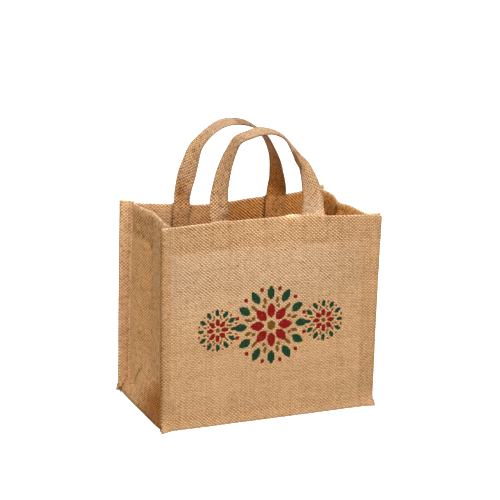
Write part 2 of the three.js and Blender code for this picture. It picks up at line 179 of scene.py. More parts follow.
# Stations of the straps' free arches: the middle, the turn of the width away from the bag's left,
# the lift of the outer edge, and the width
FRONT_ARCH = table(
    "x y z turn lift width",
    (-68, -65, 277, 32, 0, 24.5), (-65, -59, 300, 58, 0, 26), (-57, -55.5, 330, 72, 0, 26),
    (-48, -54, 350, 84, 1, 26), (-39.3, -54, 363.9, 92, 3, 26), (-24, -54, 369.9, 95, 4, 26),
    (-8, -54, 373.5, 95, 4.5, 26), (6, -55, 372.6, 100, 2, 26), (22.5, -57, 364.6, 106, 1, 26),
    (34.8, -59, 347.4, 121, 0, 26), (41.3, -60, 337, 133, 0, 26), (50.2, -61, 325, 147, 0, 26),
    (59.2, -63, 300, 168, 0, 28), (62.3, -64.5, 280, 178, 0, 29.5),
)
BACK_ARCH = table(
    "x y z turn lift width",
    (-70.2, 58, 271, 40, 0, 22.5), (-69.4, 54.5, 284, 50, 0, 25), (-66.7, 52, 299, 48, 0, 26.5),
    (-62.6, 50, 315.2, 56, 0, 26), (-55.7, 49, 335.6, 70, 0, 26), (-44, 48, 350, 80, 0, 26),
    (-32.7, 48, 359.1, 86, 2, 26), (-18, 48, 366.5, 90, 4, 26), (-2, 48, 368, 94, 3.5, 26),
    (14, 48, 365.7, 98, 2.6, 26), (30.5, 48.5, 358, 99, -0.2, 26), (43.7, 49, 345.2, 96, -3, 26),
    (53.6, 49.5, 327.2, 88, 0, 26), (59.3, 50, 311, 78, 0, 26), (62.5, 52, 296, 68, 0, 26),
    (65.3, 55, 283, 56, 0, 26), (66.4, 58.3, 272.5, 40, 0, 26.5),
)

# The straps' sewn roots, left and right: how far they lean off the hem at the mouth, and whether
# the strap has turned over there
FRONT_ROOTS = table(
    "x turn lean lift width twisted",
    (-68, 0, 12, 0, 22.5, False), (63, 180, 0, 0, 30, False),
)
BACK_ROOTS = table(
    "x turn lean lift width twisted",
    (-70, 0, 12, 0, 20.5, False), (66.3, 0, 12, 0, 27, True),
)
STRAP_RISE = 1.2
ROOT_TURNS_FROM = 24
STRAP_COLUMNS = 13
MOUTH_LEVEL = 262

# Where the free sections of an arch start and end, in stations from its two ends, and how far to
# each side its run is measured
ARCH_START = 0.45
ARCH_END = 0.4
RUN_REACH = 0.02

# Lines of sewing on a panel, from its edges, and how dark they are at its left, right, foot and hem
LEFT_STITCH = 13.4
RIGHT_STITCH = 19.3
FOOT_STITCH = 15.6
SEAM_SHADES = (0.2, 0.9, 0.6, 0.15)

# Where the sewing starts and ends, as shares of the panel, and the share of its pitch that a
# stitch covers
UPRIGHT_END = 0.995
FOOT_RUN = (0.05, 0.94)
HEM_RUN = (0.055, 0.935)
RUN_STEPS = 80
STITCH_SPAN = (0.14, 0.86)
THREAD_FLATNESS = 0.45

# Fine relief: the field that stands proud inside the seams, the pressed seams, and creasing
FIELD_PROUD = 0.7
FIELD_EASE = 5
FIELD_RISE = 11
FIELD_CORNER = 10
FIELD_MARGIN = -2.5
FOOT_EASE = 0.32
SEAM_PRESS = 0.14
SEAM_SPREAD = 0.9
CREASING = table("size depth", (46, 0.8), (17, 0.45), (6.5, 0.16))
ROOT_LIFT = 1.3
ROOT_LIFT_EASE = 5
ROOT_PROUD = 0.8
ROOT_EASE = 3
ROOT_OUTLINE = 1.3
PUCKER_PLACE = 34
PUCKER_WIDTH = 12
PUCKER_LIFT = 1.6

# Eased steps in a panel's looks, each a start and a length in mm: up from the foot, in from the
# left or right edge, or along X
HIGH_WEAVE = (110, 85)
COARSE_LEFT = (12, 22)
COARSE_RIGHT = (26, 30)
FOOT_WEAVE = (16, 12)
FOOT_WEAVE_STARTS = (0, 40)
FOOT_WEAVE_ENDS = (190, 60)
BACK_LEAN = (45, 90)
# FOOT_PALE places painted light at the foot, INSIDE_DIM the painted shade inside the hem, and
# RIGHT_PALE and RIGHT_DARK the painted highlight and painted shade on the open field
FOOT_PALE = (16, 9)
RIM_COARSE = (3, 6)
INSIDE_DIM = (50, 130)
RIGHT_PALE = (20, 60)
RIGHT_DARK = (-40, 120)

# Steps in the gusset wall's looks, most of them placing its painted shade and painted light: in mm
# up from the foot or down from the mouth, or in shares of the depth, from the front or past the
# crease
FACET_HIGH = (23, 46)
SEAM_DARK = (60, 40)
CREASE_DARK = (70, 60)
CREASE_WORST = 218
WARM_HIGH = (50, 40)
WARM_PLACE = 0.72
HEM_EDGE = (36, 6)
HEM_LINE = 40
HEM_DARK_DOWN = (6, 8)
HEM_DARK_BACK = (0.5, 0.15)
STRIP_EDGE = (-0.02, 0.03)
LIT_EDGE = (-0.03, 0.04)

# Steps in the straps' looks, most of them placing painted shade and painted highlights, in mm:
# in from an edge, above the mouth's level, or along X
STRAP_BODY = (0.8, 2)
TOP_GRAIN = (60, 30)
TOP_DARK = (75, 20)
TOP_PALE = (73, 20)
TOP_PALE_LEFT = (-50, 20)
FRONT_ROOT_HIGH = (10, 24)
FRONT_ROOT_RIGHT = (0, 30)
FRONT_LEFT_DARK = (-40, 20)
BEND_STARTS = (52, 26)
BEND_ENDS = (86, 5)
LEFT_SEWN = (-6, 6)
LEFT_BENT = (4, 40)
LEFT_INSIDE = (0, 45)
LEFT_FOLD = {"rise": 16, "high": 13, "across": 0.62, "wide": 0.22}
RIGHT_SEWN = (-4, 6)
RIGHT_LIGHTER = (40, 30)

# How much painted shade each feature of the cloth gets, or painted light below 0: shade where
# the cloth turns from the lamps and in its folds, light where it catches them. The seam, hem and
# root outline features are partly the darker sewn cloth as well
PANEL_SHADES = {
    "left edge": 0.5, "left tip": 0.35, "right edge": 0.25, "mouth": -0.35, "foot": -0.26,
    "root outline": 0.2, "pucker": -1.3, "left corner": -0.3, "field": 0.07, "right field": 0.05,
}
WALL_SHADES = {
    "facet": 0.68, "front strip": 0.08, "mouth": -0.5, "front seam": 0.5, "back seam": -0.18,
    "hem line": 0.35, "hem": 0.3,
}
FIN_SHADES = {"fin": -0.5, "mouth": 0.3, "ear fold": 1.7, "front tip": 1.1}
STRAP_SHADES = {"edges": 0.55, "top": 0.06}
FRONT_STRAP_SHADES = {"near edge": 0.12, "right root": -0.25, "left side": 0.2, "bend": 0.2,
                      "bend edge": 0.9}
BACK_STRAP_SHADES = {"left root": -0.2, "left bend": 0.12, "left fold": 0.5, "right root": 0.06,
                     "right limb": 0.62, "right lighter": -0.22}

# How much painted light each feature puts on the inside of the right wall, or painted shade below 0
RIGHT_WALL_LIGHTS = {"front": 0.3, "back": -0.12, "crease": -1.1, "mouth": 0.4}

# Single dark bits in the cloth: their place on the flat piece and their size, in metres
PANEL_SPOTS = ((-0.045, 0.2075, 0.0017), (-0.054, 0.034, 0.0015))
GUSSET_SPOTS = ((0.036, 0.173, 0.0016), (0.031, 0.242, 0.0015))

# What full painted shade leaves of the cloth's colour, warmer as in a deep fold, and the lightest
# that painted light lets cloth get
DIMMED = (0.5, 0.42, 0.32, 1)
LIGHTEST = (0.95, 0.95, 0.95)

# How far the weave's yarns wander and shake, in metres, and how round they are
WANDER = 0.0026
JITTER = 0.0009
WEFT_SEED = 57.3
YARN_ROUNDNESS = 0.6

# The printed ornament: the petal rings of a rosette as shares of its radius, and the rosettes as
# shares of the print's width
RINGS = table(
    "ink count middle length width phase",
    ("Green", 12, 0.79, 0.18, 0.1, 0.0), ("Red", 8, 0.36, 0.19, 0.115, 0.0),
    ("Red", 12, 0.9, 0.06, 0.05, 0.5), ("Brown", 12, 0.62, 0.1, 0.045, 0.5),
    ("Brown", 8, 0.5, 0.05, 0.045, 0.5),
)
ROSETTES = table("across radius", (0.0, 0.26), (-0.36, 0.14), (0.36, 0.14))
FOOT_TO_CLOTH = 0.01

# Stage, in metres: the lamps, which look at the bag's middle, and the floor
WHITE = (1, 1, 1, 1)
LAMPS = table(
    "name place power",
    ("Key light", (0.6, -1.5, 1.9), "key_power"), ("Fill light", (-1.44, -1.44, 0.95), "fill_power"),
)
LAMP_SIZE = 1.2
LAMP_AIM = Vector((0, 0, 0.15))
FLOOR_SIZE = 20

# Camera of the photograph: a square frame, turned and raised as it looks at the bag
CAMERA_PLACE = Vector((-0.8332, -1.92875, 0.756))
CAMERA_LENS = 119.2
CAMERA_YAW = math.radians(-23.44)
CAMERA_PITCH = math.radians(14.68)
CAMERA_ROLL = math.radians(1.23)


def mix(a, b, t):
    """The value at share t of the way from a to b."""
    return a + (b - a) * t


def clamp(t):
    """t held between 0 and 1."""
    return min(1.0, max(0.0, t))


def smooth(t):
    """An eased step from 0 to 1."""
    c = clamp(t)
    return c * c * (3 - 2 * c)


def grow(at, start, length):
    """An eased step from 0 at a start to 1 a length further on."""
    return smooth((at - start) / length)


def fade(at, start, length):
    """An eased step from 1 at a start to 0 a length further on."""
    return 1 - grow(at, start, length)


def along(rows, key, at, name):
    """One column of a table at a place along its key, on a curve without overshoot."""
    last = len(rows) - 1
    if at <= rows[0][key]:
        return rows[0][name]
    if at >= rows[last][key]:
        return rows[last][name]
    i = next(k for k in range(1, last + 1) if rows[k][key] > at) - 1

    def slope(k):
        if k < 1 or k >= last:
            return 0.0
        before = (rows[k][name] - rows[k - 1][name]) / (rows[k][key] - rows[k - 1][key])
        after = (rows[k + 1][name] - rows[k][name]) / (rows[k + 1][key] - rows[k][key])
        return 0.0 if before * after <= 0 else 2 * before * after / (before + after)

    span = rows[i + 1][key] - rows[i][key]
    t = (at - rows[i][key]) / span
    rise = rows[i + 1][name] - rows[i][name]
    bend = (1 - t) * slope(i) * span - t * slope(i + 1) * span
    return rows[i][name] + rise * t * t * (3 - 2 * t) + t * (1 - t) * bend


def spread(length, step, close_start=True, close_end=True):
    """Distances from 0 to a length at an even step, with close ones at the rims that are seen."""
    start = CLOSE_ROWS if close_start else CLOSE_ROWS[:1]
    end = CLOSE_ROWS if close_end else CLOSE_ROWS[:1]
    inner_start, inner_end = start[-1], length - end[-1]
    count = max(2, round((inner_end - inner_start) / step))
    between = [mix(inner_start, inner_end, i / count) for i in range(1, count)]
    return [*start, *between, *(length - d for d in end[::-1])]


def creasing(place, seed):
    """Small unevenness of the cloth at a place, in millimetres."""
    depth = 0.0
    for row in CREASING:
        spot = Vector(place) / row["size"] + Vector((seed * 7.3, seed * 3.1, seed))
        depth += row["depth"] * noise.noise(spot)
    return depth


def bow_at(z):
    """How much a panel's bow has grown at a height."""
    return max(0.0, (z - BOW_START) / (BAG_HEIGHT - BOW_START)) ** BOW_GROWTH


def splay(x, z):
    """How much a foot corner splays out of its panel, from 0 to 1 at the very corner."""
    return clamp(1 - (BAG_WIDTH / 2 - abs(x)) / SPLAY_WIDTH) * clamp(1 - z / SPLAY_HEIGHT)


def ripple(x, z, phase):
    """Broad dimples of the standing cloth, gone near the seams."""
    inner = smooth((BAG_WIDTH / 2 - abs(x)) / CALM_MARGIN) * smooth(z / CALM_MARGIN)
    dimples = math.sin(x / DIMPLE["across"] + phase) * math.cos(z / DIMPLE["up"] + phase)
    sway = math.sin(z / SWAY["up"] - x / SWAY["across"])
    return inner * (DIMPLE["depth"] * dimples + SWAY["depth"] * sway)


@dataclass
class PanelShape:
    """The shape of one panel, and the way from its outer face into the bag."""
    name: str
    inward: int
    mouth: list
    edges: list
    roots: list
    splays: tuple
    phase: float
    seed: int

    def face(self, x, z):
        """Y of the panel's outer face."""
        bow = along(self.mouth, "x", x, "bow") * bow_at(z)
        out = self.splays[0 if x < 0 else 1] * splay(x, z)
        return self.inward * (bow - BAG_DEPTH / 2 - out) + ripple(x, z, self.phase)


FRONT = PanelShape("front", 1, FRONT_MOUTH, FRONT_EDGES, FRONT_ROOTS, FRONT_SPLAY, 0.6, 1)
BACK = PanelShape("back", -1, BACK_MOUTH, BACK_EDGES, BACK_ROOTS, BACK_SPLAY, 2.1, 2)


def edges_at(panel, share):
    """X of a panel's left and right edges at a share of its height."""
    return [along(panel.edges, "z", share * BAG_HEIGHT, name) for name in ("left", "right")]


def hem_layer(share):
    """1 where the hem lies behind the cloth, 0 below it."""
    return clamp((HEM_DEPTH + STEP_LENGTH - (1 - share) * BAG_HEIGHT) / STEP_LENGTH)


def layers(from_left, from_right, share):
    """Number of cloth layers at a place on a panel."""
    left = 1 - clamp((from_left - LEFT_SEAM) / STEP_LENGTH)
    right = 1 - clamp((from_right - RIGHT_SEAM) / STEP_LENGTH)
    foot = 1 - clamp((share * BAG_HEIGHT - FOOT_SEAM) / STEP_LENGTH)
    return 1 + max(left, right, foot, hem_layer(share))


def field_depth(from_left, from_right, share):
    """Distance inside the rounded rectangle of stitch lines, negative outside it."""
    up = share * BAG_HEIGHT
    across = min(from_left - LEFT_STITCH - FIELD_MARGIN, from_right - RIGHT_STITCH)
    upright = min(FOOT_EASE * (up - FOOT_STITCH), BAG_HEIGHT - HEM_STITCH - up)
    if across < FIELD_CORNER and upright < FIELD_CORNER:
        inner = math.hypot(FIELD_CORNER - min(FIELD_CORNER, across),
                           FIELD_CORNER - min(FIELD_CORNER, upright))
        return FIELD_CORNER - inner
    return min(across, upright)


def from_stitches(from_left, from_right, share):
    """Distances from a panel's lines of sewing: at its left, its right, its foot and its hem."""
    up = share * BAG_HEIGHT
    return (from_left - LEFT_STITCH, from_right - RIGHT_STITCH, up - FOOT_STITCH,
            BAG_HEIGHT - HEM_STITCH - up)


def seam_shade(from_left, from_right, share):
    """How dark the lines of sewing look at a place on a panel."""
    distances = from_stitches(from_left, from_right, share)
    return max(shade * hump(d, SEAM_SPREAD) for shade, d in zip(SEAM_SHADES, distances))


def hump(distance, size):
    """A soft bump that is 1 at no distance."""
    return math.exp(-(distance / size) ** 2)


def weighed(weights, features):
    """The sum of some features, each times its own weight."""
    return sum(weights[name] * amount for name, amount in features.items())


def pucker_at(panel, x):
    """How strongly the front's mouth is puckered at a place."""
    return hump(x - PUCKER_PLACE, PUCKER_WIDTH) if panel is FRONT else 0.0


def beyond_roots(panel, x):
    """Distance along the mouth from the outline of the nearer strap root, negative over it."""
    return min(abs(x - root["x"]) - root["width"] / 2 for root in panel.roots)


def root_lift(panel, x):
    """How far the mouth is lifted over a strap that is sewn behind it, and where it puckers."""
    over = fade(beyond_roots(panel, x), -ROOT_LIFT_EASE / 2, ROOT_LIFT_EASE)
    return ROOT_LIFT * max(over, PUCKER_LIFT * pucker_at(panel, x))


def root_cover(panel, x, share):
    """How much of a strap's sewn root lies behind a place on a panel, and how near its outline."""
    outside = max(beyond_roots(panel, x), (1 - share) * BAG_HEIGHT - STRAP_SEWN)
    return fade(outside, -ROOT_EASE / 2, ROOT_EASE), hump(outside, ROOT_OUTLINE)


def panel_point(panel, x, share, left, right):
    """One place on a panel, on its outer and its inner face."""
    high = along(panel.mouth, "x", x, "height") + root_lift(panel, x) * share ** 8
    z = share * high
    from_left, from_right = x - left, right - x
    proud = FIELD_PROUD * smooth(field_depth(from_left, from_right, share) / FIELD_RISE)
    distances = from_stitches(from_left, from_right, share)
    press = SEAM_PRESS * max(hump(d, SEAM_SPREAD) for d in distances)
    covered, _ = root_cover(panel, x, share)
    relief = proud - press + ROOT_PROUD * covered + creasing((x, z, 0), panel.seed)
    y = panel.face(x, z) - panel.inward * relief
    thick = CLOTH * layers(from_left, from_right, share) - press
    return Vector((x, y, z)), Vector((x, y + panel.inward * thick, z))


def to_frame(point):
    """A point of the tables in the frame, in metres."""
    return (Vector(point) + TO_FRAME) * MM


def running(points):
    """Distance along a row of points from its first one."""
    total = [0.0]
    for a, b in zip(points, points[1:]):
        total.append(total[-1] + (b - a).length)
    return total


def flat_map(outside, middle):
    """Where each point lies on the flat cloth: across from a middle column, and along the rows."""
    up = [0.0]
    for before, after in zip(outside, outside[1:]):
        steps = [(b - a).length for a, b in zip(before, after)]
        up.append(up[-1] + sum(steps) / len(steps))
    flat = []
    for row, height in zip(outside, up):
        across = running(row)
        flat.append([(s - across[middle], height) for s in across])
    return flat


def round_rim(outside, inside):
    """Both faces drawn together at the rim, so that a folded edge is round."""
    rows, columns = len(outside), len(outside[0])
    across = [running(row) for row in outside]
    upright = [running([row[c] for row in outside]) for c in range(columns)]
    for r in range(rows):
        for c in range(columns):
            outer, inner = outside[r][c], inside[r][c]
            middle, half = (outer + inner) / 2, (outer - inner) / 2
            size = max(half.length, 1e-6)
            ends = (across[r][c], across[r][-1] - across[r][c],
                    upright[c][r], upright[c][-1] - upright[c][r])
            beyond = 1 - min(1.0, min(ends) / size)
            keep = math.sqrt(max(RIM_LEAST ** 2, 1 - beyond * beyond))
            outside[r][c] = middle + half * keep
            inside[r][c] = middle - half * keep


@dataclass
class Mark:
    """What the cloth is like at a point.

    field is 1 in the open field and seam 1 on a line of sewing. grain is the weave's contrast, and
    lean makes it run down to the right (1) or up to the right (-1), partly as the yarns' own slant
    and partly as painted shading of their relief. shade is painted shade that darkens the cloth,
    and below 0 painted light that lightens it; pale is a painted highlight on its yarn tops, and
    worn adds blotches. outer and inner say how much of the cloth's reverse side shows on the two
    faces; the reverse's darker colours also stand in for painted shade on the gusset's foot facet
    and inside the hem. inner_light is painted light on the inner one, and inner_grain is its share
    of the weave's contrast.
    """
    field: float = 1.0
    seam: float = 0.0
    grain: float = 0.6
    lean: float = 0.0
    shade: float = 0.0
    pale: float = 0.0
    worn: float = 0.3
    outer: float = 0.0
    inner: float = 1.0
    inner_light: float = 0.0
    inner_grain: float = 1.0


MARKED = ("field", "seam", "grain", "lean", "shade", "pale", "worn")


def cloth_sheet(name, outside, inside, middle, marks):
    """A closed sheet of cloth from two grids of points, with its flat place as a UV map."""
    flat = flat_map(outside, middle)
    round_rim(outside, inside)
    rows, columns = len(outside), len(outside[0])
    bm = bmesh.new()
    layer = {label: bm.verts.layers.float.new(label) for label in (*MARKED, "reverse")}
    cloth = bm.loops.layers.uv.new("cloth")
    bmesh.ops.create_grid(bm, x_segments=columns - 1, y_segments=rows - 1, size=0.5)
    originals = list(bm.verts)
    copy = bmesh.ops.duplicate(bm, geom=bm.verts[:] + bm.edges[:] + bm.faces[:])
    spot = {}
    for vert in originals:
        twin = copy["vert_map"][vert]
        r = round((vert.co.y + 0.5) * (rows - 1))
        c = round((vert.co.x + 0.5) * (columns - 1))
        vert.co = to_frame(outside[r][c])
        twin.co = to_frame(inside[r][c])
        for each in (vert, twin):
            spot[each] = Vector(flat[r][c]) * MM
            for label in MARKED:
                each[layer[label]] = getattr(marks[r][c], label)
        vert[layer["reverse"]] = marks[r][c].outer
        twin[layer["reverse"]] = marks[r][c].inner
        # The inner face's painted light lowers its painted shade
        twin[layer["shade"]] -= marks[r][c].inner_light
        twin[layer["grain"]] *= marks[r][c].inner_grain
    turned = [face for face in copy["geom"] if isinstance(face, bmesh.types.BMFace)]
    bmesh.ops.reverse_faces(bm, faces=turned)
    rim = [edge for edge in bm.edges if edge.is_boundary]
    bmesh.ops.bridge_loops(bm, edges=rim)
    if bm.calc_volume(signed=True) < 0:
        bmesh.ops.reverse_faces(bm, faces=bm.faces[:])
    bmesh.ops.recalc_face_normals(bm, faces=bm.faces[:])
    for face in bm.faces:
        face.smooth = True
        for loop in face.loops:
            loop[cloth].uv = spot[loop.vert]
    return finished(name, bm)


def finished(name, bm):
    """The mesh of a bmesh as a new object in the scene."""
    mesh = bpy.data.meshes.new(name)
    bm.to_mesh(mesh)
    bm.free()
    piece = bpy.data.objects.new(name, mesh)
    bpy.context.scene.collection.objects.link(piece)
    return piece


def panel_mark(panel, x, share, left, right):
    """What a panel's cloth is like: its weave shows most near the mouth, the foot and the edges."""
    from_left, from_right = x - left, right - x
    up = share * BAG_HEIGHT
    down = BAG_HEIGHT - up
    rim = min(from_left, from_right, up, down)
    field = smooth(field_depth(from_left, from_right, share) / FIELD_EASE)
    high = grow(up, *HIGH_WEAVE)
    coarse = high * grow(from_left, *COARSE_LEFT) * grow(from_right, *COARSE_RIGHT)
    low = fade(up, *FOOT_WEAVE)
    low *= grow(from_left, *FOOT_WEAVE_STARTS) * fade(from_left, *FOOT_WEAVE_ENDS)
    dim = grow(from_left, *INSIDE_DIM)
    _, outline = root_cover(panel, x, share)
    lean_side = grow(from_left, *BACK_LEAN) if panel is BACK else 1
    pucker = pucker_at(panel, x) * hump(down - 1, 4.5)
    corner = hump(from_left - 3, 8) * hump(down, 6)
    # Painted shade along the left and right edges, round a root's outline and over the high field,
    # more to its right; painted light along the mouth's rim, at the foot, on the pucker and at the top
    # left corner
    shade = weighed(PANEL_SHADES, {
        "left edge": hump(from_left, 3.2), "left tip": fade(from_left, 0, 1.2),
        "right edge": hump(from_right, 1.8), "mouth": hump(down, 2), "foot": fade(up, *FOOT_PALE),
        "root outline": outline, "pucker": pucker, "left corner": corner,
        "field": high * field, "right field": high * field * grow(x, *RIGHT_DARK)})
    # Painted highlight on the high open field, fainter near the right edge, and along the mouth's rim,
    # at the corner, on the pucker and over the hem
    pale = high * field * mix(0.35, 0.85, grow(from_right, *RIGHT_PALE))
    # Painted shade inside the hem: the darker reverse colours deepen to the right, and the inner
    # face's painted light fades to the right
    hem_inside_shade = mix(0.1, 0.9, dim) * grow(down, 2, 3)
    return Mark(
        field=field, seam=seam_shade(from_left, from_right, share), worn=0.4, shade=shade,
        grain=0.58 + 0.27 * coarse + 0.2 * low + 0.15 * fade(rim, *RIM_COARSE),
        lean=(0.62 * coarse + 0.3 * low) * lean_side,
        pale=max(pale, hump(down, 2), corner, pucker, 0.25 * fade(down, HEM_STITCH, 2)),
        inner=mix(1.0, hem_inside_shade, hem_layer(share)) * grow(rim, 0.5, 3),
        inner_light=mix(0.8, 0.2, dim), inner_grain=1.6)


def panel_sheet(panel):
    """One panel: hemmed at its mouth, with its sides and foot turned in."""
    shares = [d / BAG_HEIGHT for d in spread(BAG_HEIGHT, PANEL_STEP)]
    columns = [d / BAG_WIDTH for d in spread(BAG_WIDTH, PANEL_STEP)]
    outside, inside, marks = [], [], []
    for share in shares:
        left, right = edges_at(panel, share)
        places = [(panel, mix(left, right, column), share, left, right) for column in columns]
        points = [panel_point(*place) for place in places]
        outside.append([outer for outer, _ in points])
        inside.append([inner for _, inner in points])
        marks.append([panel_mark(*place) for place in places])
    return cloth_sheet(f"{panel.name}_panel_cloth", outside, inside, len(columns) // 2, marks)


def edge_at(z, name, v):
    """X of the bag's upright edge at a height and a share of the depth."""
    return mix(along(FRONT_EDGES, "z", z, name), along(BACK_EDGES, "z", z, name), v)


@dataclass
class GussetRow:
    """One row across the gusset: on a side, at a foot corner or on the base."""
    kind: str
    out_x: float
    out_z: float
    name: str = ""
    share: float = 0.0
    angle: float = 0.0
    at: float = 0.0


def bend_point(row, v):
    """Where the gusset's wall bends into its seam, at one row and one share of the depth."""
    corner_z = FOOT_SEAM + CORNER_RADIUS

    def corner_x(name):
        side = SIDES[name]
        return edge_at(corner_z, name, v) - side["way"] * (side["seam"] + CORNER_RADIUS)

    if row.kind == "base":
        return mix(corner_x("left"), corner_x("right"), row.at), FOOT_SEAM
    if row.kind == "corner":
        return (corner_x(row.name) + CORNER_RADIUS * row.out_x,
                corner_z + CORNER_RADIUS * row.out_z)
    level = row.share * BAG_HEIGHT
    risen = (level - corner_z) / (BAG_HEIGHT - corner_z)
    side = SIDES[row.name]
    return (edge_at(level, row.name, v) - side["way"] * side["seam"],
            mix(corner_z, along(SIDE_MOUTH, "v", v, row.name), risen))


def facet_slope(side):
    """Outward slope of a side's foot facet."""
    return (side["depth"] + side["foot"]) / (side["apex"] - FOOT_CLEARANCE)


def facet_reach(side, z):
    """Outward reach of a side's foot facet at a height."""
    return -side["depth"] + facet_slope(side) * (side["apex"] - z)


def soft_max(a, b):
    """The larger of two reaches, eased where they meet."""
    near = max(0.0, 1 - abs(a - b) / (2 * FACET_SOFTNESS))
    return max(a, b) + 0.5 * FACET_SOFTNESS * near * near


def between_seams(v):
    """1 over most of the gusset's width, and 0 at its two seams."""
    return 1 - abs(2 * v - 1) ** 4


def side_forms(side, z, v):
    """Reach of a side's folded wall, which bulges beside its seams, and of the facet below it."""
    before = v < side["crease"]
    away = abs(v - side["crease"]) / (side["crease"] if before else 1 - side["crease"])
    depth = side["depth"] - side["flare"] * grow(z, FLARE_START, BAG_HEIGHT - FLARE_START)
    fold = depth * (math.hypot(away, CREASE_SOFTNESS) - 1)
    bulge = side["front_bulge" if before else "back_bulge"]
    bulge *= math.sin(math.pi * away ** side["peak"])
    middle = between_seams(v)
    tucked = FACET_TUCK * (1 - middle) * grow(z, *TUCK_RISE)
    return (fold + bulge) * smooth(z / CREASE_START), facet_reach(side, z) * middle - tucked


def corner_reach(side, row, v):
    """At a foot corner the wall reaches its facet or the floor, and folds to the seam's tip."""
    _, bend_z = bend_point(row, v)
    outward = abs(row.out_x)
    closing = outward + facet_slope(side) * row.out_z
    to_facet = facet_reach(side, bend_z) - CORNER_RADIUS * (outward - 1)
    to_floor = (bend_z - FOOT_CLEARANCE) / -row.out_z
    full = min(to_facet / closing, to_floor) if closing > 0.05 else to_floor
    folded = fin_reach(row, v) * math.sin(2 * row.angle) ** 2 - EAR_PINCH
    return mix(max(0.0, folded), full, between_seams(v))


def wall_reach(row, v):
    """Outward reach of the gusset's wall from its bend."""
    if row.kind == "side":
        return soft_max(*side_forms(SIDES[row.name], bend_point(row, v)[1], v))
    if row.kind == "corner":
        return corner_reach(SIDES[row.name], row, v)
    rise = BASE_RISE * smooth(min(row.at, 1 - row.at) / BASE_RISE_SHARE)
    return (FOOT_SEAM - FOOT_CLEARANCE - rise) * between_seams(v)


def fin_reach(row, v):
    """Outward reach of the seam fin's edge."""
    if row.kind == "side":
        return SIDES[row.name]["seam"] - FIN_INSET
    if row.kind == "base":
        return FOOT_SEAM - FIN_INSET
    bend_x, bend_z = bend_point(row, v)
    edge = abs(edge_at(SPLAY_HEIGHT, row.name, v)) - FIN_INSET - abs(bend_x)
    return min(edge / abs(row.out_x), (bend_z - FIN_INSET) / abs(row.out_z))


def gusset_rows():
    """Rows of the strip, from its left mouth down, along the base and up to its right mouth."""
    corner = FOOT_SEAM + CORNER_RADIUS
    upright = [corner + d for d in spread(BAG_HEIGHT - corner, SIDE_STEP, close_start=False)]
    turns = [math.radians(turn) for turn in CORNER_TURNS]
    count = round((BAG_WIDTH - 2 * corner) / BASE_STEP)
    base = [GussetRow("base", 0.0, -1.0, at=i / count) for i in range(count + 1)]

    def side(name):
        way = SIDES[name]["way"]
        rows = [GussetRow("side", way, 0.0, name, share=z / BAG_HEIGHT) for z in upright[::-1]]
        return rows + [GussetRow("corner", way * math.cos(a), -math.sin(a), name, angle=a)
                       for a in turns]

    return side("left") + base + side("right")[::-1]


def wall_shares(row):
    """Shares of the depth across the wall, closer together at its crease and its seams."""
    crease = mix(SIDES["left"]["crease"], SIDES["right"]["crease"], row.at)
    if row.kind != "base":
        crease = SIDES[row.name]["crease"]

    def shares(start, end, count, last):
        even = [i / count for i in range(last)]
        return [mix(start, end, mix(f, smooth(f), CROWDING)) for f in even]

    front, back = WALL_COLUMNS
    return (shares(WALL_MARGIN, crease, front, front)
            + shares(crease, 1 - WALL_MARGIN, back, back + 1))


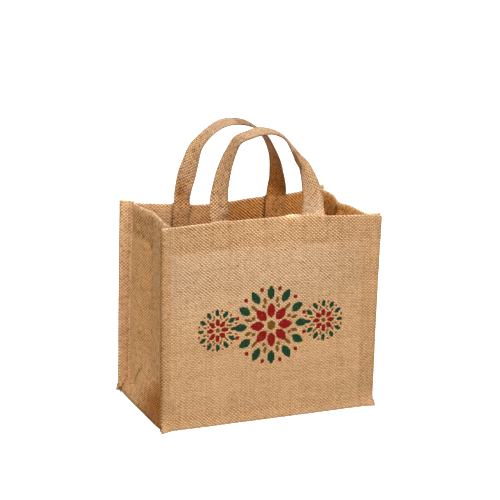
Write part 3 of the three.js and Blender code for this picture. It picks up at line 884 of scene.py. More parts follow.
class GussetSection:
    """The points of one gusset row, from the front fin over the wall to the back fin."""

    def __init__(self, row):
        self.row = row
        self.on_side = row.kind == "side"
        self.down = (1 - row.share) * BAG_HEIGHT if self.on_side else BAG_HEIGHT
        self.wall = CLOTH * (1 + hem_layer(row.share)) if self.on_side else CLOTH
        self.outer, self.inner, self.marks = [], [], []

    def spot(self, v, reach):
        """X and Z at a reach outwards from the wall's bend."""
        bend_x, bend_z = bend_point(self.row, v)
        return bend_x + self.row.out_x * reach, bend_z + self.row.out_z * reach

    def sewn_face(self, panel, v, reach):
        """Y of the face that is sewn to a panel."""
        x, z = self.spot(v, reach)
        return panel.face(x, z) + panel.inward * (BEHIND_PANEL + SPLAY_EASE * splay(x, z))

    def put(self, v, reach_out, y_out, reach_in, y_in, mark):
        """Adds a point to each face, with what the cloth is like there."""
        for points, reach, y in ((self.outer, reach_out, y_out), (self.inner, reach_in, y_in)):
            x, z = self.spot(v, reach)
            points.append(Vector((x, y, z)))
        self.marks.append(mark)

    def fin(self, panel, v, fold, tip):
        """The fin of two layers beside a panel, from its tip to the start of its bend."""
        start = fold + OUTER_BEND
        length = tip - start
        inner = tip - CLOSE_ROWS[-1]
        reaches = [tip - length * clamp(d / length) for d in CLOSE_ROWS]
        if inner > start:
            reaches += [mix(inner, start, i / FIN_STEPS) for i in range(1, FIN_STEPS)]
        while len(reaches) < len(CLOSE_ROWS) + FIN_STEPS - 1:
            reaches.append(mix(reaches[-1], start, 0.3))
        points = []
        for reach in sorted(reaches, reverse=True):
            near = self.sewn_face(panel, v, reach)
            stitch = hump(reach - fold - FIN_STITCH, SEAM_SPREAD)
            thick = 2 * CLOTH + EAR_THICKNESS[panel.name] * splay(*self.spot(v, reach))
            thick -= FIN_PRESS * stitch
            points.append((reach, near + panel.inward * thick, reach, near, stitch))
        return points

    def bend(self, panel, v, fold):
        """The cloth's turn from the fin into the wall, as seen from outside and from inside."""
        near = self.sewn_face(panel, v, fold)
        points = []
        for turn in BEND_TURNS:
            a = math.radians(turn)
            out = fold + OUTER_BEND * (1 - math.sin(a))
            y_out = near + panel.inward * (2 * CLOTH + OUTER_BEND * (1 - math.cos(a)))
            into = fold - self.wall + INNER_BEND * (1 - math.sin(a))
            y_in = near + panel.inward * INNER_BEND * (1 - math.cos(a))
            points.append((out, y_out, into, y_in, BEND_SEAM))
        return points

    def seam(self, v, panel):
        """Fin and bend beside one panel, each point with what the cloth is like there."""
        tip = fin_reach(self.row, v)
        fold = min(max(0.0, wall_reach(self.row, v)), tip - (FIN_LEAST + OUTER_BEND))
        points = self.fin(panel, v, fold, tip) + self.bend(panel, v, fold)
        return [(v, *place, self.fin_mark(v, place[0], tip, seam)) for *place, seam in points]

    def wall_points(self, front, back):
        """The wall between its two bends."""
        for v in wall_shares(self.row):
            y = mix(front, back, v)
            x, z = self.spot(v, 0)
            calm = grow(v, 0, WALL_CALM) * fade(v, 1 - WALL_CALM, WALL_CALM)
            uneven = WALL_CREASING if self.on_side else FOOT_CREASING
            reach = wall_reach(self.row, v) + uneven * creasing((x, y, z), 3) * calm
            self.put(v, reach, y, reach - self.wall, y, self.wall_mark(v, x, y, z))

    def wall_mark(self, v, x, y, z):
        """Painted shade at the wall's crease and in the folds at its foot; a coarser weave at its hem.
        """
        down, name = self.down, self.row.name or "left"
        past = v - SIDES[name]["crease"]
        low = fade(z, *FACET_HIGH)
        facet = low * fade(v, 0.25, 0.1 + 0.3 * low)
        strip = fade(past, *STRIP_EDGE)
        hem = fade(down, *HEM_EDGE) if self.on_side else 0
        rim = hump(down, 4.5 + 1.4 * noise.noise(Vector((x, y, z)) / 4))
        line = hump(past + 0.03 * noise.noise(Vector((z / 22, 3, 8))), 0.03)
        line *= smooth(0.35 + 2 * noise.noise(Vector((x, y, z)) / 9)) * grow(z, *CREASE_DARK)
        worst = 0.35 + 0.75 * hump(z - CREASE_WORST, 18) if name == "left" else 0.12
        warm = 0.3 * hump(v - WARM_PLACE, 0.1) * (1 - hem) * grow(z, *WARM_HIGH)
        # Painted shade along the crease, in the ear's fold, on the foot facet, on the strip in front
        # of the crease and beside the front seam, and darker at the hem; painted light along the mouth
        # and beside the back seam
        shade = worst * line + self.ear_fold(v, z) + weighed(WALL_SHADES, {
            "facet": facet, "front strip": strip, "mouth": rim,
            "front seam": hump(v - WALL_MARGIN, 0.05) * grow(z, *SEAM_DARK),
            "back seam": hump(1 - v, 0.08),
            "hem line": hump(down - HEM_LINE, 1.2) * (1 - strip),
            "hem": hem * grow(down, *HEM_DARK_DOWN) * grow(v, *HEM_DARK_BACK)})
        # Painted light on the inner face along the mouth; on the right wall, painted light in front of
        # the crease and at the mouth, and painted shade behind the crease and along it
        lit = 0.7 * hump(down, 3)
        if name == "right":
            rim *= 0.6
            lit = weighed(RIGHT_WALL_LIGHTS, {
                "front": fade(past, *LIT_EDGE), "back": grow(past, 0, 0.1),
                "crease": hump(past, 0.04) * grow(down, 2, 5), "mouth": hump(down, 2)})
        # pale is a painted highlight along the mouth, and the reverse colours on the foot facet are
        # its painted shade
        return Mark(grain=(0.98 + 0.4 * hem + 0.5 * strip) * (1 - 0.6 * rim) * (1 - 0.45 * facet),
                    lean=-0.3 * (1 - hem), shade=shade, pale=0.8 * rim,
                    worn=(1.1 + 0.9 * hem + 0.9 * strip) * (1 - 0.6 * facet),
                    outer=max(warm, 0.95 * facet), inner_light=lit,
                    inner=grow(down, 2 if name == "right" else 3.5, 4))

    def ear_fold(self, v, z):
        """Painted shade of the fold that runs from the back ear along the top of the foot facet."""
        if not self.on_side or v < EAR_FOLD_FROM:
            return 0.0
        wall, facet = side_forms(SIDES[self.row.name], z, v)
        return 0.9 * hump(wall - facet, 1.2) * grow(v, EAR_FOLD_FROM, 0.2)

    def fin_mark(self, v, reach, tip, seam):
        """The turned edge by a panel: painted light, and painted shade at the tip, mouth and ear fold.
        """
        down, from_tip = self.down, tip - reach
        x, z = self.spot(v, reach)
        ear_fold = hump(z - 10 + 0.3 * (abs(x) - 135), 1.7) if self.row.kind != "base" else 0
        shade = weighed(FIN_SHADES, {
            "fin": 1, "mouth": hump(down, 2.5), "ear fold": ear_fold,
            "front tip": hump(from_tip, 1.6) if v == 0 else 0})
        return Mark(field=0.6, seam=seam, grain=0.95, lean=-0.15, worn=1.3, shade=shade,
                    pale=mix(0.42, 0.8, hump(down, 3)),
                    inner=grow(from_tip, 0.5, 3) * grow(down, 0.5, 3))


def gusset_section(row):
    """One gusset row: its front seam, its wall and its back seam."""
    section = GussetSection(row)
    front, back = section.seam(0, FRONT), section.seam(1, BACK)
    for point in front:
        section.put(*point)
    section.wall_points(section.outer[-1].y, back[-1][2])
    for point in back[::-1]:
        section.put(*point)
    return section


def gusset_sheet():
    """The strip that makes the left side, the base and the right side."""
    sections = [gusset_section(row) for row in gusset_rows()]
    faces = [[getattr(section, name) for section in sections] for name in ("outer", "inner")]
    marks = [section.marks for section in sections]
    return cloth_sheet("gusset_cloth", *faces, len(marks[0]) // 2, marks)


def strap_shape():
    """Shares of a strap's half width, closer together at its edges."""
    width = FRONT_ARCH[0]["width"]
    close = [2 * d / width - 1 for d in CLOSE_ROWS]
    between = [mix(close[-1], -close[-1], i / STRAP_COLUMNS) for i in range(1, STRAP_COLUMNS)]
    return close + between + [-share for share in close[::-1]]


def root_point(panel, root, across, rise):
    """The near face of a strap's root at a share across it and a rise above the mouth."""
    lean = math.radians(root["lean"]) * grow(rise, -ROOT_TURNS_FROM, ROOT_TURNS_FROM)
    way = panel.inward if root["turn"] else -panel.inward
    free = (1 + panel.inward * across) / 2 * root["width"]
    x = root["x"] + way * (free * math.cos(lean) - root["width"] / 2)
    z = along(panel.mouth, "x", root["x"], "height") + rise
    inward = STRAP_BEHIND + free * math.sin(lean)
    return Vector((x, panel.face(x, min(z, BAG_HEIGHT)) + panel.inward * inward, z))


def sewn_section(panel, root, rise):
    """A strap's two faces where it is sewn flat on the hem and starts to turn near the mouth."""
    through = Vector((0, panel.inward * STRAP_THICKNESS, 0))
    near = [root_point(panel, root, across, rise) for across in strap_shape()]
    far = [point + through for point in near]
    return (far, near) if root["twisted"] else (near, far)


def root_station(panel, root):
    """The station at which a strap's free arch leaves a root."""
    middle = root_point(panel, root, 0, STRAP_RISE)
    y = middle.y + panel.inward * STRAP_THICKNESS / 2
    return {**root, "x": middle.x, "y": y, "z": middle.z, "turn": abs(root["turn"] - root["lean"])}


def on_curve(points, place):
    """A point on a smooth run through points that are unevenly far apart."""
    i = min(int(place), len(points) - 2)
    before = points[i - 1] if i else 2 * points[0] - points[1]
    after = points[i + 2] if i + 2 < len(points) else 2 * points[-1] - points[-2]
    around = [before, points[i], points[i + 1], after]
    knots = [0.0]
    for a, b in zip(around, around[1:]):
        knots.append(knots[-1] + (b - a).length ** 0.5)
    t = mix(knots[1], knots[2], place - i)

    def between(a, b, low, high):
        return a.lerp(b, (t - knots[low]) / (knots[high] - knots[low]))

    first = [between(around[k], around[k + 1], k, k + 1) for k in range(3)]
    second = [between(first[k], first[k + 1], k, k + 2) for k in range(2)]
    return between(second[0], second[1], 1, 2)


def free_section(station, run, facing):
    """A strap's two faces on its free arch, square to its run."""
    angle = math.radians(station["turn"])
    width = Vector((-math.cos(angle), math.sin(angle), station["lift"] / station["width"]))
    width = (width - run * width.dot(run)).normalized()
    normal = run.cross(width) * facing
    outer, inner = [], []
    for across in strap_shape():
        point = station["middle"] + width * across * station["width"] / 2
        uneven = 0.5 * creasing(point, 5)
        outer.append(point + normal * (STRAP_THICKNESS / 2 + uneven))
        inner.append(point - normal * (STRAP_THICKNESS / 2 - uneven))
    return outer, inner


def strap_sections(panel, arch):
    """All sections of a strap: sewn on at the left, over its arch, and sewn on at the right."""
    left, right = panel.roots
    stations = [root_station(panel, left), *arch, root_station(panel, right)]
    stations = [{**row, "step": step} for step, row in enumerate(stations)]
    route = [Vector((row["x"], row["y"], row["z"])) for row in stations]
    rises = [d - STRAP_SEWN for d in spread(STRAP_SEWN + STRAP_RISE, STRAP_STEP, close_end=False)]
    sections = [sewn_section(panel, left, rise) for rise in rises]
    place, last = ARCH_START, len(route) - 1
    while place < last - ARCH_END:
        station = {name: along(stations, "step", place, name) for name in ("turn", "lift", "width")}
        station["middle"] = on_curve(route, place)
        ahead = on_curve(route, min(last, place + RUN_REACH))
        run = ahead - on_curve(route, max(0, place - RUN_REACH))
        sections.append(free_section(station, run.normalized(), panel.inward))
        place += STRAP_STEP / (run.length / (2 * RUN_REACH))
    return sections + [sewn_section(panel, right, rise) for rise in rises[::-1]]


def strap_mark(panel, middle, s, width):
    """A strap's cloth: painted shade on its sides and bends, a painted highlight on top, lighter
    roots.
    """
    edge = min(s, width - s)
    x, rise = middle.x, middle.z - MOUTH_LEVEL
    mark = Mark(seam=0.6 * hump(edge - 2.6, 1.1), lean=0.1, worn=1.0)
    mark.grain = mix(0.7, 1.35, grow(edge, *STRAP_BODY)) * mix(1.0, 0.75, grow(rise, *TOP_GRAIN))
    # Painted highlight on top of the arch, and painted shade along the edges and a little on top
    mark.pale = 0.9 * grow(rise, *TOP_PALE) * grow(x, *TOP_PALE_LEFT)
    mark.shade = weighed(STRAP_SHADES, {"edges": fade(edge, 0, 1.5), "top": grow(rise, *TOP_DARK)})
    if panel is FRONT:
        mark_front_strap(mark, x, rise, s)
    elif x < 0:
        mark_back_strap_left(mark, rise, s / width)
    else:
        mark_back_strap_right(mark, rise)
    kept = grow(edge, 0.3, 1.5)
    mark.outer *= kept
    mark.inner *= kept
    return mark


def mark_front_strap(mark, x, rise, s):
    """Front strap: painted light at its right root, painted shade on its left and in its right bend.
    """
    root = grow(x, *FRONT_ROOT_RIGHT) * fade(rise, *FRONT_ROOT_HIGH)
    bent = grow(rise, *BEND_STARTS) * fade(rise, *BEND_ENDS) if x > 0 else 0
    mark.pale = max(mark.pale, 0.8 * root)
    mark.grain *= 1 - 0.3 * bent
    mark.shade += weighed(FRONT_STRAP_SHADES, {
        "near edge": fade(s, 0, 3), "right root": root, "left side": fade(x, *FRONT_LEFT_DARK),
        "bend": bent, "bend edge": fade(s, 1 + 7 * bent, 2) * bent})


def mark_back_strap_left(mark, rise, across):
    """The back strap's left limb shows the cloth's reverse, with painted shade in a fold above its
    root.
    """
    sewn = fade(rise, *LEFT_SEWN)
    fold = math.hypot((rise - LEFT_FOLD["rise"]) / LEFT_FOLD["high"],
                      (across - LEFT_FOLD["across"]) / LEFT_FOLD["wide"])
    mark.outer = mix(1.0, 0.12, sewn)
    mark.inner = mix(0.45, 0.3, sewn) * fade(rise, *LEFT_INSIDE)
    mark.grain *= mix(1.0, 1.4, sewn)
    # Lighter where it is sewn, with painted shade in its bend and in the fold
    mark.shade += weighed(BACK_STRAP_SHADES, {
        "left root": sewn, "left fold": hump(fold, 1),
        "left bend": (1 - sewn) * fade(rise, *LEFT_BENT) * grow(across, 0.5, 0.3)})


def mark_back_strap_right(mark, rise):
    """The back strap's right limb has painted shade, a little less higher up, and little where sewn.
    """
    sewn = fade(rise, *RIGHT_SEWN)
    mark.outer, mark.inner = mix(1.0, 0.8, sewn), 0.0
    mark.shade += weighed(BACK_STRAP_SHADES, {
        "right root": sewn, "right limb": 1 - sewn,
        "right lighter": (1 - sewn) * grow(rise, *RIGHT_LIGHTER)})


def strap_sheet(panel, arch):
    """A whole carrying strap."""
    outside, inside = (list(face) for face in zip(*strap_sections(panel, arch)))
    middle = len(outside[0]) // 2
    marks = []
    for row in outside:
        across = running(row)
        marks.append([strap_mark(panel, row[middle], s, across[-1]) for s in across])
    return cloth_sheet(f"{panel.name}_strap_cloth", outside, inside, middle, marks)


def stitch_place(start, end, outward, thread):
    """The place, turn and size of one stitch between two points, sunk a little in the cloth."""
    run = end - start
    side = outward.cross(run).normalized()
    lift = run.normalized().cross(side)
    turned = Matrix((run.normalized(), side, lift)).transposed().to_4x4()
    size = Matrix.Diagonal((run.length / 2, thread / 2, thread * THREAD_FLATNESS, 1))
    return Matrix.Translation((start + end) / 2) @ turned @ size


def round_thread():
    """A ball of few faces, which each stitch stretches to its own length."""
    bm = bmesh.new()
    bmesh.ops.create_uvsphere(bm, u_segments=6, v_segments=5, radius=1)
    for face in bm.faces:
        face.smooth = True
    ball = bpy.data.meshes.new("round thread")
    bm.to_mesh(ball)
    bm.free()
    return ball


def stitch_rows(name, rows, settings):
    """Rows of stitches along runs of points, each with the way out of its cloth."""
    bm = bmesh.new()
    ball = round_thread()
    pitch = settings.stitch_length / MM
    for points, outward in rows:
        reached = running(points)
        for i in range(int(reached[-1] / pitch)):
            start, end = (to_frame(at_distance(points, reached, (i + share) * pitch))
                          for share in STITCH_SPAN)
            one = ball.copy()
            one.transform(stitch_place(start, end, Vector(outward), settings.thread))
            bm.from_mesh(one)
            bpy.data.meshes.remove(one)
    bpy.data.meshes.remove(ball)
    return finished(name, bm)


def at_distance(points, reached, distance):
    """The point at a distance along a run."""
    i = next((k for k in range(1, len(reached)) if reached[k] >= distance), len(reached) - 1)
    span = max(reached[i] - reached[i - 1], 1e-9)
    return points[i - 1].lerp(points[i], (distance - reached[i - 1]) / span)


def panel_runs(panel):
    """The runs of sewing on a panel's outer face and, behind its hem, on its inner face."""
    def run(place, start, end, inner=False):
        points = []
        for i in range(RUN_STEPS + 1):
            share, x_of = place(mix(start, end, i / RUN_STEPS))
            left, right = edges_at(panel, share)
            points.append(panel_point(panel, x_of(left, right), share, left, right)[int(inner)])
        return points, (0, panel.inward if inner else -panel.inward, 0)

    def upright(x_of):
        return run(lambda share: (share, x_of), foot, UPRIGHT_END)

    def level(share, start, end, inner=False):
        return run(lambda u: (share, lambda left, right: mix(left, right, u)), start, end, inner)

    foot = FOOT_STITCH / BAG_HEIGHT
    hem = 1 - HEM_STITCH / BAG_HEIGHT
    return [
        upright(lambda left, right: left + LEFT_STITCH),
        upright(lambda left, right: right - RIGHT_STITCH),
        level(foot, *FOOT_RUN),
        level(hem, *HEM_RUN),
        level(hem, *HEM_RUN, inner=True),
    ]


class Value:
    """A value or a vector in a node tree, which can be reckoned with like a number."""

    def __init__(self, kit, socket):
        self.kit = kit
        self.socket = socket

    def reckon(self, operation, *values):
        """The outcome of an operation of the kind that suits this value."""
        kind = self.kit.math if self.socket.type == "VALUE" else self.kit.vector
        return kind(operation, *values)

    def __add__(self, other):
        return self.reckon("ADD", self, other)

    def __sub__(self, other):
        return self.reckon("SUBTRACT", self, other)

    def __rsub__(self, other):
        return self.reckon("SUBTRACT", other, self)

    def __mul__(self, other):
        return self.reckon("MULTIPLY", self, other)

    def __truediv__(self, other):
        return self.reckon("DIVIDE", self, other)


class NodeKit:
    """Short ways to add and join the nodes of one tree."""

    def __init__(self, tree):
        self.tree = tree
        self.tree.nodes.clear()

    def add(self, kind, values=(), **settings):
        """A new node, whose inputs are fed by number or by name."""
        node = self.tree.nodes.new(kind)
        for name, value in settings.items():
            setattr(node, name, value)
        for key, value in values.items() if isinstance(values, dict) else enumerate(values):
            self.feed(node.inputs[key], value)
        count = len(self.tree.nodes)
        node.location = (190 * (count // 7), -170 * (count % 7))
        return node

    def feed(self, socket, value):
        """Joins a value to a socket, or writes a plain number or colour on it."""
        if isinstance(value, Value):
            self.tree.links.new(value.socket, socket)
        else:
            socket.default_value = value

    def take(self, key, kind, values=(), **settings):
        """One output of a new node."""
        return Value(self, self.add(kind, values, **settings).outputs[key])

    def math(self, operation, *values, clamped=False):
        return self.take(0, "ShaderNodeMath", values, operation=operation, use_clamp=clamped)

    def vector(self, operation, *values):
        key = "Value" if operation == "DISTANCE" else 0
        return self.take(key, "ShaderNodeVectorMath", values, operation=operation)

    def scaled(self, vector, amount):
        return self.take(0, "ShaderNodeVectorMath", {0: vector, "Scale": amount}, operation="SCALE")

    def combine(self, x, y, z=0.0):
        return self.take(0, "ShaderNodeCombineXYZ", (x, y, z))

    def split(self, vector):
        outputs = self.add("ShaderNodeSeparateXYZ", (vector,)).outputs
        return Value(self, outputs[0]), Value(self, outputs[1])

    def noise(self, place, scale, detail=2.0, colour=False):
        values = {"Vector": place, "Scale": scale, "Detail": detail}
        return self.take("Color" if colour else "Fac", "ShaderNodeTexNoise", values)

    def random(self, value):
        return self.take("Value", "ShaderNodeTexWhiteNoise", {"W": value}, noise_dimensions="1D")

    def remap(self, value, low, high, to_low=0.0, to_high=1.0, eased=True):
        kind = "SMOOTHSTEP" if eased else "LINEAR"
        return self.take(0, "ShaderNodeMapRange", (value, low, high, to_low, to_high),
                         interpolation_type=kind)

    def blend(self, amount, a, b, how="MIX"):
        """A mix of two colours, whose sockets on the Mix node are 6 and 7."""
        return self.take(2, "ShaderNodeMix", {0: amount, 6: a, 7: b},
                         data_type="RGBA", blend_type=how)

    def blend_value(self, amount, a, b):
        """A mix of two numbers, whose sockets on the Mix node are 2 and 3."""
        return self.take(0, "ShaderNodeMix", {0: amount, 2: a, 3: b}, data_type="FLOAT")

    def bump(self, height, distance):
        return self.take(0, "ShaderNodeBump", {"Height": height, "Distance": distance})

    def object_place(self):
        """The place on the piece, in its own coordinates."""
        return self.take("Object", "ShaderNodeTexCoord")

    def attribute(self, name):
        """The value of a piece's own attribute."""
        return self.take("Fac", "ShaderNodeAttribute", attribute_name=name)

    def group(self, tree, values):
        """All outputs of a node group, by their names."""
        outputs = self.add("ShaderNodeGroup", values, node_tree=tree).outputs
        return {socket.name: Value(self, socket) for socket in outputs}

    def finish(self, shader, values, output="ShaderNodeOutputMaterial"):
        """The tree's shader, joined to its output."""
        self.add(output, {"Surface": self.take(0, shader, values)})


def new_group(name, inputs, outputs):
    tree = bpy.data.node_groups.new(name, "ShaderNodeTree")
    for direction, sockets in (("INPUT", inputs), ("OUTPUT", outputs)):
        for label, kind in sockets.items():
            tree.interface.new_socket(label, in_out=direction, socket_type=f"NodeSocket{kind}")
    kit = NodeKit(tree)
    given = {socket.name: Value(kit, socket) for socket in kit.add("NodeGroupInput").outputs
             if socket.name}
    return tree, kit, given


def weave_group():
    """Plain weave of round uneven yarns: its height, its tone and the yarn at each place."""
    tree, kit, given = new_group(
        "Plain jute weave",
        {"Cloth": "Vector", "Warp pitch": "Float", "Weft pitch": "Float",
         "Warp lift": "Float", "Weft lift": "Float"},
        {"Height": "Float", "Yarn": "Float", "Fibre": "Float", "Cell": "Vector",
         "Rising": "Float", "Falling": "Float", "Crossing": "Float"},
    )
    wander = kit.noise(given["Cloth"], 55, 1.0, colour=True) - (0.5, 0.5, 0.5)
    jitter = kit.noise(given["Cloth"], 330, 1.0, colour=True) - (0.5, 0.5, 0.5)
    moved = given["Cloth"] + kit.scaled(wander, WANDER) + kit.scaled(jitter, JITTER)
    u, v = kit.split(moved)
    across, up = u / given["Warp pitch"], v / given["Weft pitch"]
    warp_yarn, weft_yarn = kit.math("FLOOR", across), kit.math("FLOOR", up)
    warp_random, weft_random = kit.random(warp_yarn), kit.random(weft_yarn + WEFT_SEED)

    def height(lift, along_yarn, other_yarn, turn, place, chance):
        share = (kit.math("FRACT", place) - 0.5) * 2.0 / (chance * 0.22 + 0.84)
        wave = kit.math("COSINE", (along_yarn + other_yarn + turn) * math.pi)
        return wave * lift + (1.0 - share * share) * YARN_ROUNDNESS

    warp_high = height(given["Warp lift"], up, warp_yarn, -0.5, across, warp_random)
    weft_high = height(given["Weft lift"], across, weft_yarn, 0.5, up, weft_random)
    on_warp = kit.math("GREATER_THAN", warp_high, weft_high)
    across_yarn = kit.blend_value(on_warp, up, across)
    along_yarn = kit.blend_value(on_warp, across, up)
    yarn = kit.blend_value(on_warp, weft_random, warp_random)
    strand = kit.combine(along_yarn * 1.4 + across_yarn * 5.0, along_yarn * 0.9, yarn * 40.0)
    crossing = kit.math("MULTIPLY_ADD", warp_yarn, 0.731, weft_yarn * 11.37)
    kit.add("NodeGroupOutput", {
        "Height": kit.math("MAXIMUM", warp_high, weft_high),
        "Yarn": yarn,
        "Fibre": kit.noise(strand, 1.0, 3.0),
        "Cell": kit.combine((warp_yarn + 0.5) * given["Warp pitch"],
                            (weft_yarn + 0.5) * given["Weft pitch"]),
        "Rising": kit.math("COSINE", (across - up) * math.pi),
        "Falling": kit.math("COSINE", (across + up + 1.0) * math.pi),
        "Crossing": kit.random(crossing),
    })
    return tree


def petal_ring(kit, radius, turn, ring):
    """Mask of a ring of pointed petals round a centre."""
    count = ring["count"]
    share = kit.math("MULTIPLY_ADD", turn, count / (2 * math.pi), 0.5 + ring["phase"])
    sideways = kit.math("ABSOLUTE", kit.math("FRACT", share) - 0.5) * (2 * math.pi / count) * radius
    out = (radius - ring["middle"]) / ring["length"]
    inside = (1.0 - out * out) * ring["width"] - sideways
    return kit.remap(inside, -0.012, 0.012)


def rosette_group():
    """A traditional round ornament of petals, leaves and dots, as masks of three inks."""
    tree, kit, given = new_group(
        "Round ornament",
        {"Cloth": "Vector", "Centre": "Vector", "Radius": "Float"},
        {"Green": "Float", "Red": "Float", "Brown": "Float"},
    )
    u, v = kit.split(given["Cloth"] - given["Centre"])
    radius = kit.math("SQRT", u * u + v * v) / given["Radius"]
    turn = kit.math("ARCTAN2", v, u)
    masks = {"Green": 0.0, "Red": 0.0, "Brown": kit.remap(radius, 0.12, 0.1)}
    for ring in RINGS:
        petals = petal_ring(kit, radius, turn, ring)
        masks[ring["ink"]] = kit.math("MAXIMUM", masks[ring["ink"]], petals)
    kit.add("NodeGroupOutput", masks)
    return tree


def jute_tone(kit, woven, cloth, place):
    """How light the jute is at a place, from its weave, fibres, uneven yarns and painted shade and
    light.
    """
    grain, lean, worn, field, seam, shade = (
        kit.attribute(name) for name in ("grain", "lean", "worn", "field", "seam", "shade"))
    # Diagonal floats: partly the yarns' own slant, partly painted shading of their relief
    floats = (woven["Rising"] * (1.0 - lean) + woven["Falling"] * (lean + 1.0)) * grain
    dark_gap = kit.remap(woven["Crossing"], 0.82, 1.0) * grain
    blotch = (kit.noise(place, 200, 3.0) - 0.5) * worn
    tone = kit.remap(woven["Height"], -0.3, 1.1, 0.3, 0.76, eased=False)
    for part, weight, middle in (
            (floats, 0.21, 0.0), (blotch, 0.8, 0.0), (dark_gap, -0.3, 0.0),
            (woven["Fibre"], 0.25, 0.5), (woven["Yarn"], 0.12, 0.5), (woven["Crossing"], 0.16, 0.5),
            (kit.noise(cloth, 210, 2.0), 0.3, 0.5), (kit.noise(place, 24, 2.0), 0.2, 0.5),
            (field, 0.1, 1.0), (seam, -0.2, 0.0), (kit.math("MINIMUM", shade, 0.0), -0.25, 0.0),
            (kit.math("MAXIMUM", shade, 0.0), -0.2, 0.0)):
        tone = tone + (part - middle) * weight
    return kit.math("ADD", tone, 0.0, clamped=True)


def new_material(name):
    material = bpy.data.materials.new(name)
    material.use_nodes = True
    return material, NodeKit(material.node_tree)


def jute_material(name, light, dark, settings, lifts=(0.7, 0.36), printed=None, spots=()):
    """Jute cloth: uneven yarns with dark gaps, fibres, slubs, mottling and bark, some at set spots."""
    material, kit = new_material(name)
    cloth = kit.take(0, "ShaderNodeUVMap", uv_map="cloth")
    place = kit.object_place()
    woven = kit.group(shared_weave(), {
        "Cloth": cloth, "Warp pitch": settings.warp_pitch, "Weft pitch": settings.weft_pitch,
        "Warp lift": lifts[0], "Weft lift": lifts[1]})
    reverse, shade = kit.attribute("reverse"), kit.attribute("shade")
    tone = jute_tone(kit, woven, cloth, place)
    # Painted highlight: the pale mark whitens the yarn tops
    highlighted = kit.blend(kit.attribute("pale"), light, settings.pale_light)
    # The reverse colours, which also serve as painted shade on the gusset's foot facet and inside the
    # hem
    hidden_side = kit.blend(tone, settings.reverse_dark, settings.reverse_light)
    colour = kit.blend(reverse, kit.blend(tone, dark, highlighted), hidden_side)
    specks = kit.remap(kit.noise(place, 420, 1.0), 0.71, 0.78)
    colour = kit.blend(specks * 0.55, colour, settings.bark)
    if printed:
        colour = printed(kit, colour, woven, cloth, tone, reverse)
    for u, v, size in spots:
        away = kit.vector("DISTANCE", cloth, (u, v, 0.0))
        colour = kit.blend(kit.remap(away, size, 0.4 * size), colour, settings.bark)
    # Painted shade darkens and warms the colour, and painted light, where shade is below 0, lightens
    # it
    colour = kit.blend(kit.math("MAXIMUM", shade, 0.0), colour, DIMMED, how="MULTIPLY")
    lit = kit.math("MULTIPLY_ADD", kit.math("MINIMUM", shade, 0.0), -0.32, 1.0)
    rough = kit.remap(woven["Fibre"], 0.3, 0.7, 0.82, 0.98)
    kit.finish("ShaderNodeBsdfPrincipled", {
        "Base Color": kit.vector("MINIMUM", kit.scaled(colour, lit), LIGHTEST),
        "Roughness": kit.math("MULTIPLY_ADD", reverse, -0.35, rough),
        "Normal": kit.bump(woven["Fibre"] * 0.22 + woven["Height"], settings.weave_relief),
        "Specular IOR Level": 0.02,
        "Sheen Weight": 0.05,
        "Sheen Roughness": 0.5,
        "Sheen Tint": (1.0, 0.72, 0.42, 1),
    })
    return material


def ornament(settings):
    """The print on the front: a large round ornament between two small ones, in three inks."""
    rosette = rosette_group()
    middle = settings.print_height - FOOT_TO_CLOTH
    inks = {"Green": settings.ink_green, "Red": settings.ink_red, "Brown": settings.ink_brown}

    def printed(kit, colour, woven, cloth, tone, reverse):
        snapped = kit.scaled(cloth, 0.45) + kit.scaled(woven["Cell"], 0.55)
        taken = tone + kit.noise(cloth, 260, 3.0) * 0.5
        cover = kit.remap(taken, 0.35, 0.7, 0.7, 1.0) * (1.0 - reverse)
        for row in ROSETTES:
            centre = (row["across"] * settings.print_size, middle, 0.0)
            radius = row["radius"] * settings.print_size
            masks = kit.group(rosette, {"Cloth": snapped, "Centre": centre, "Radius": radius})
            for ink, ink_colour in inks.items():
                colour = kit.blend(masks[ink] * cover, colour, ink_colour)
        return colour

    return printed


def thread_material(settings):
    """Twisted sewing thread."""
    material, kit = new_material("Sewing thread")
    twist = kit.noise(kit.object_place(), 2600, 2.0)
    strands = kit.remap(twist, 0.3, 0.7)
    kit.finish("ShaderNodeBsdfPrincipled", {
        "Base Color": kit.blend(strands, settings.thread_dark, settings.thread_light),
        "Roughness": 0.75,
        "Normal": kit.bump(twist, 0.0001),
    })
    return material


def paper_material(settings):
    """The plain pale floor."""
    material, kit = new_material("Pale floor")
    kit.finish("ShaderNodeBsdfPrincipled", {
        "Base Color": (0.93, 0.93, 0.93, 1),
        "Roughness": 1.0,
        "Specular IOR Level": 0.0,
        "Emission Color": WHITE,
        "Emission Strength": settings.floor_glow,
    })
    return material


def shade_material():
    """What the cloth gets back from the floor, which the camera doesn't see."""
    material, kit = new_material("Floor shade")
    kit.finish("ShaderNodeBsdfDiffuse", {"Color": (0.2, 0.2, 0.2, 1)})
    return material


# What the properties of one kind share
LENGTH = {"unit": "LENGTH", "subtype": "DISTANCE"}
COLOUR = {"size": 4, "min": 0, "max": 1, "subtype": "COLOR"}


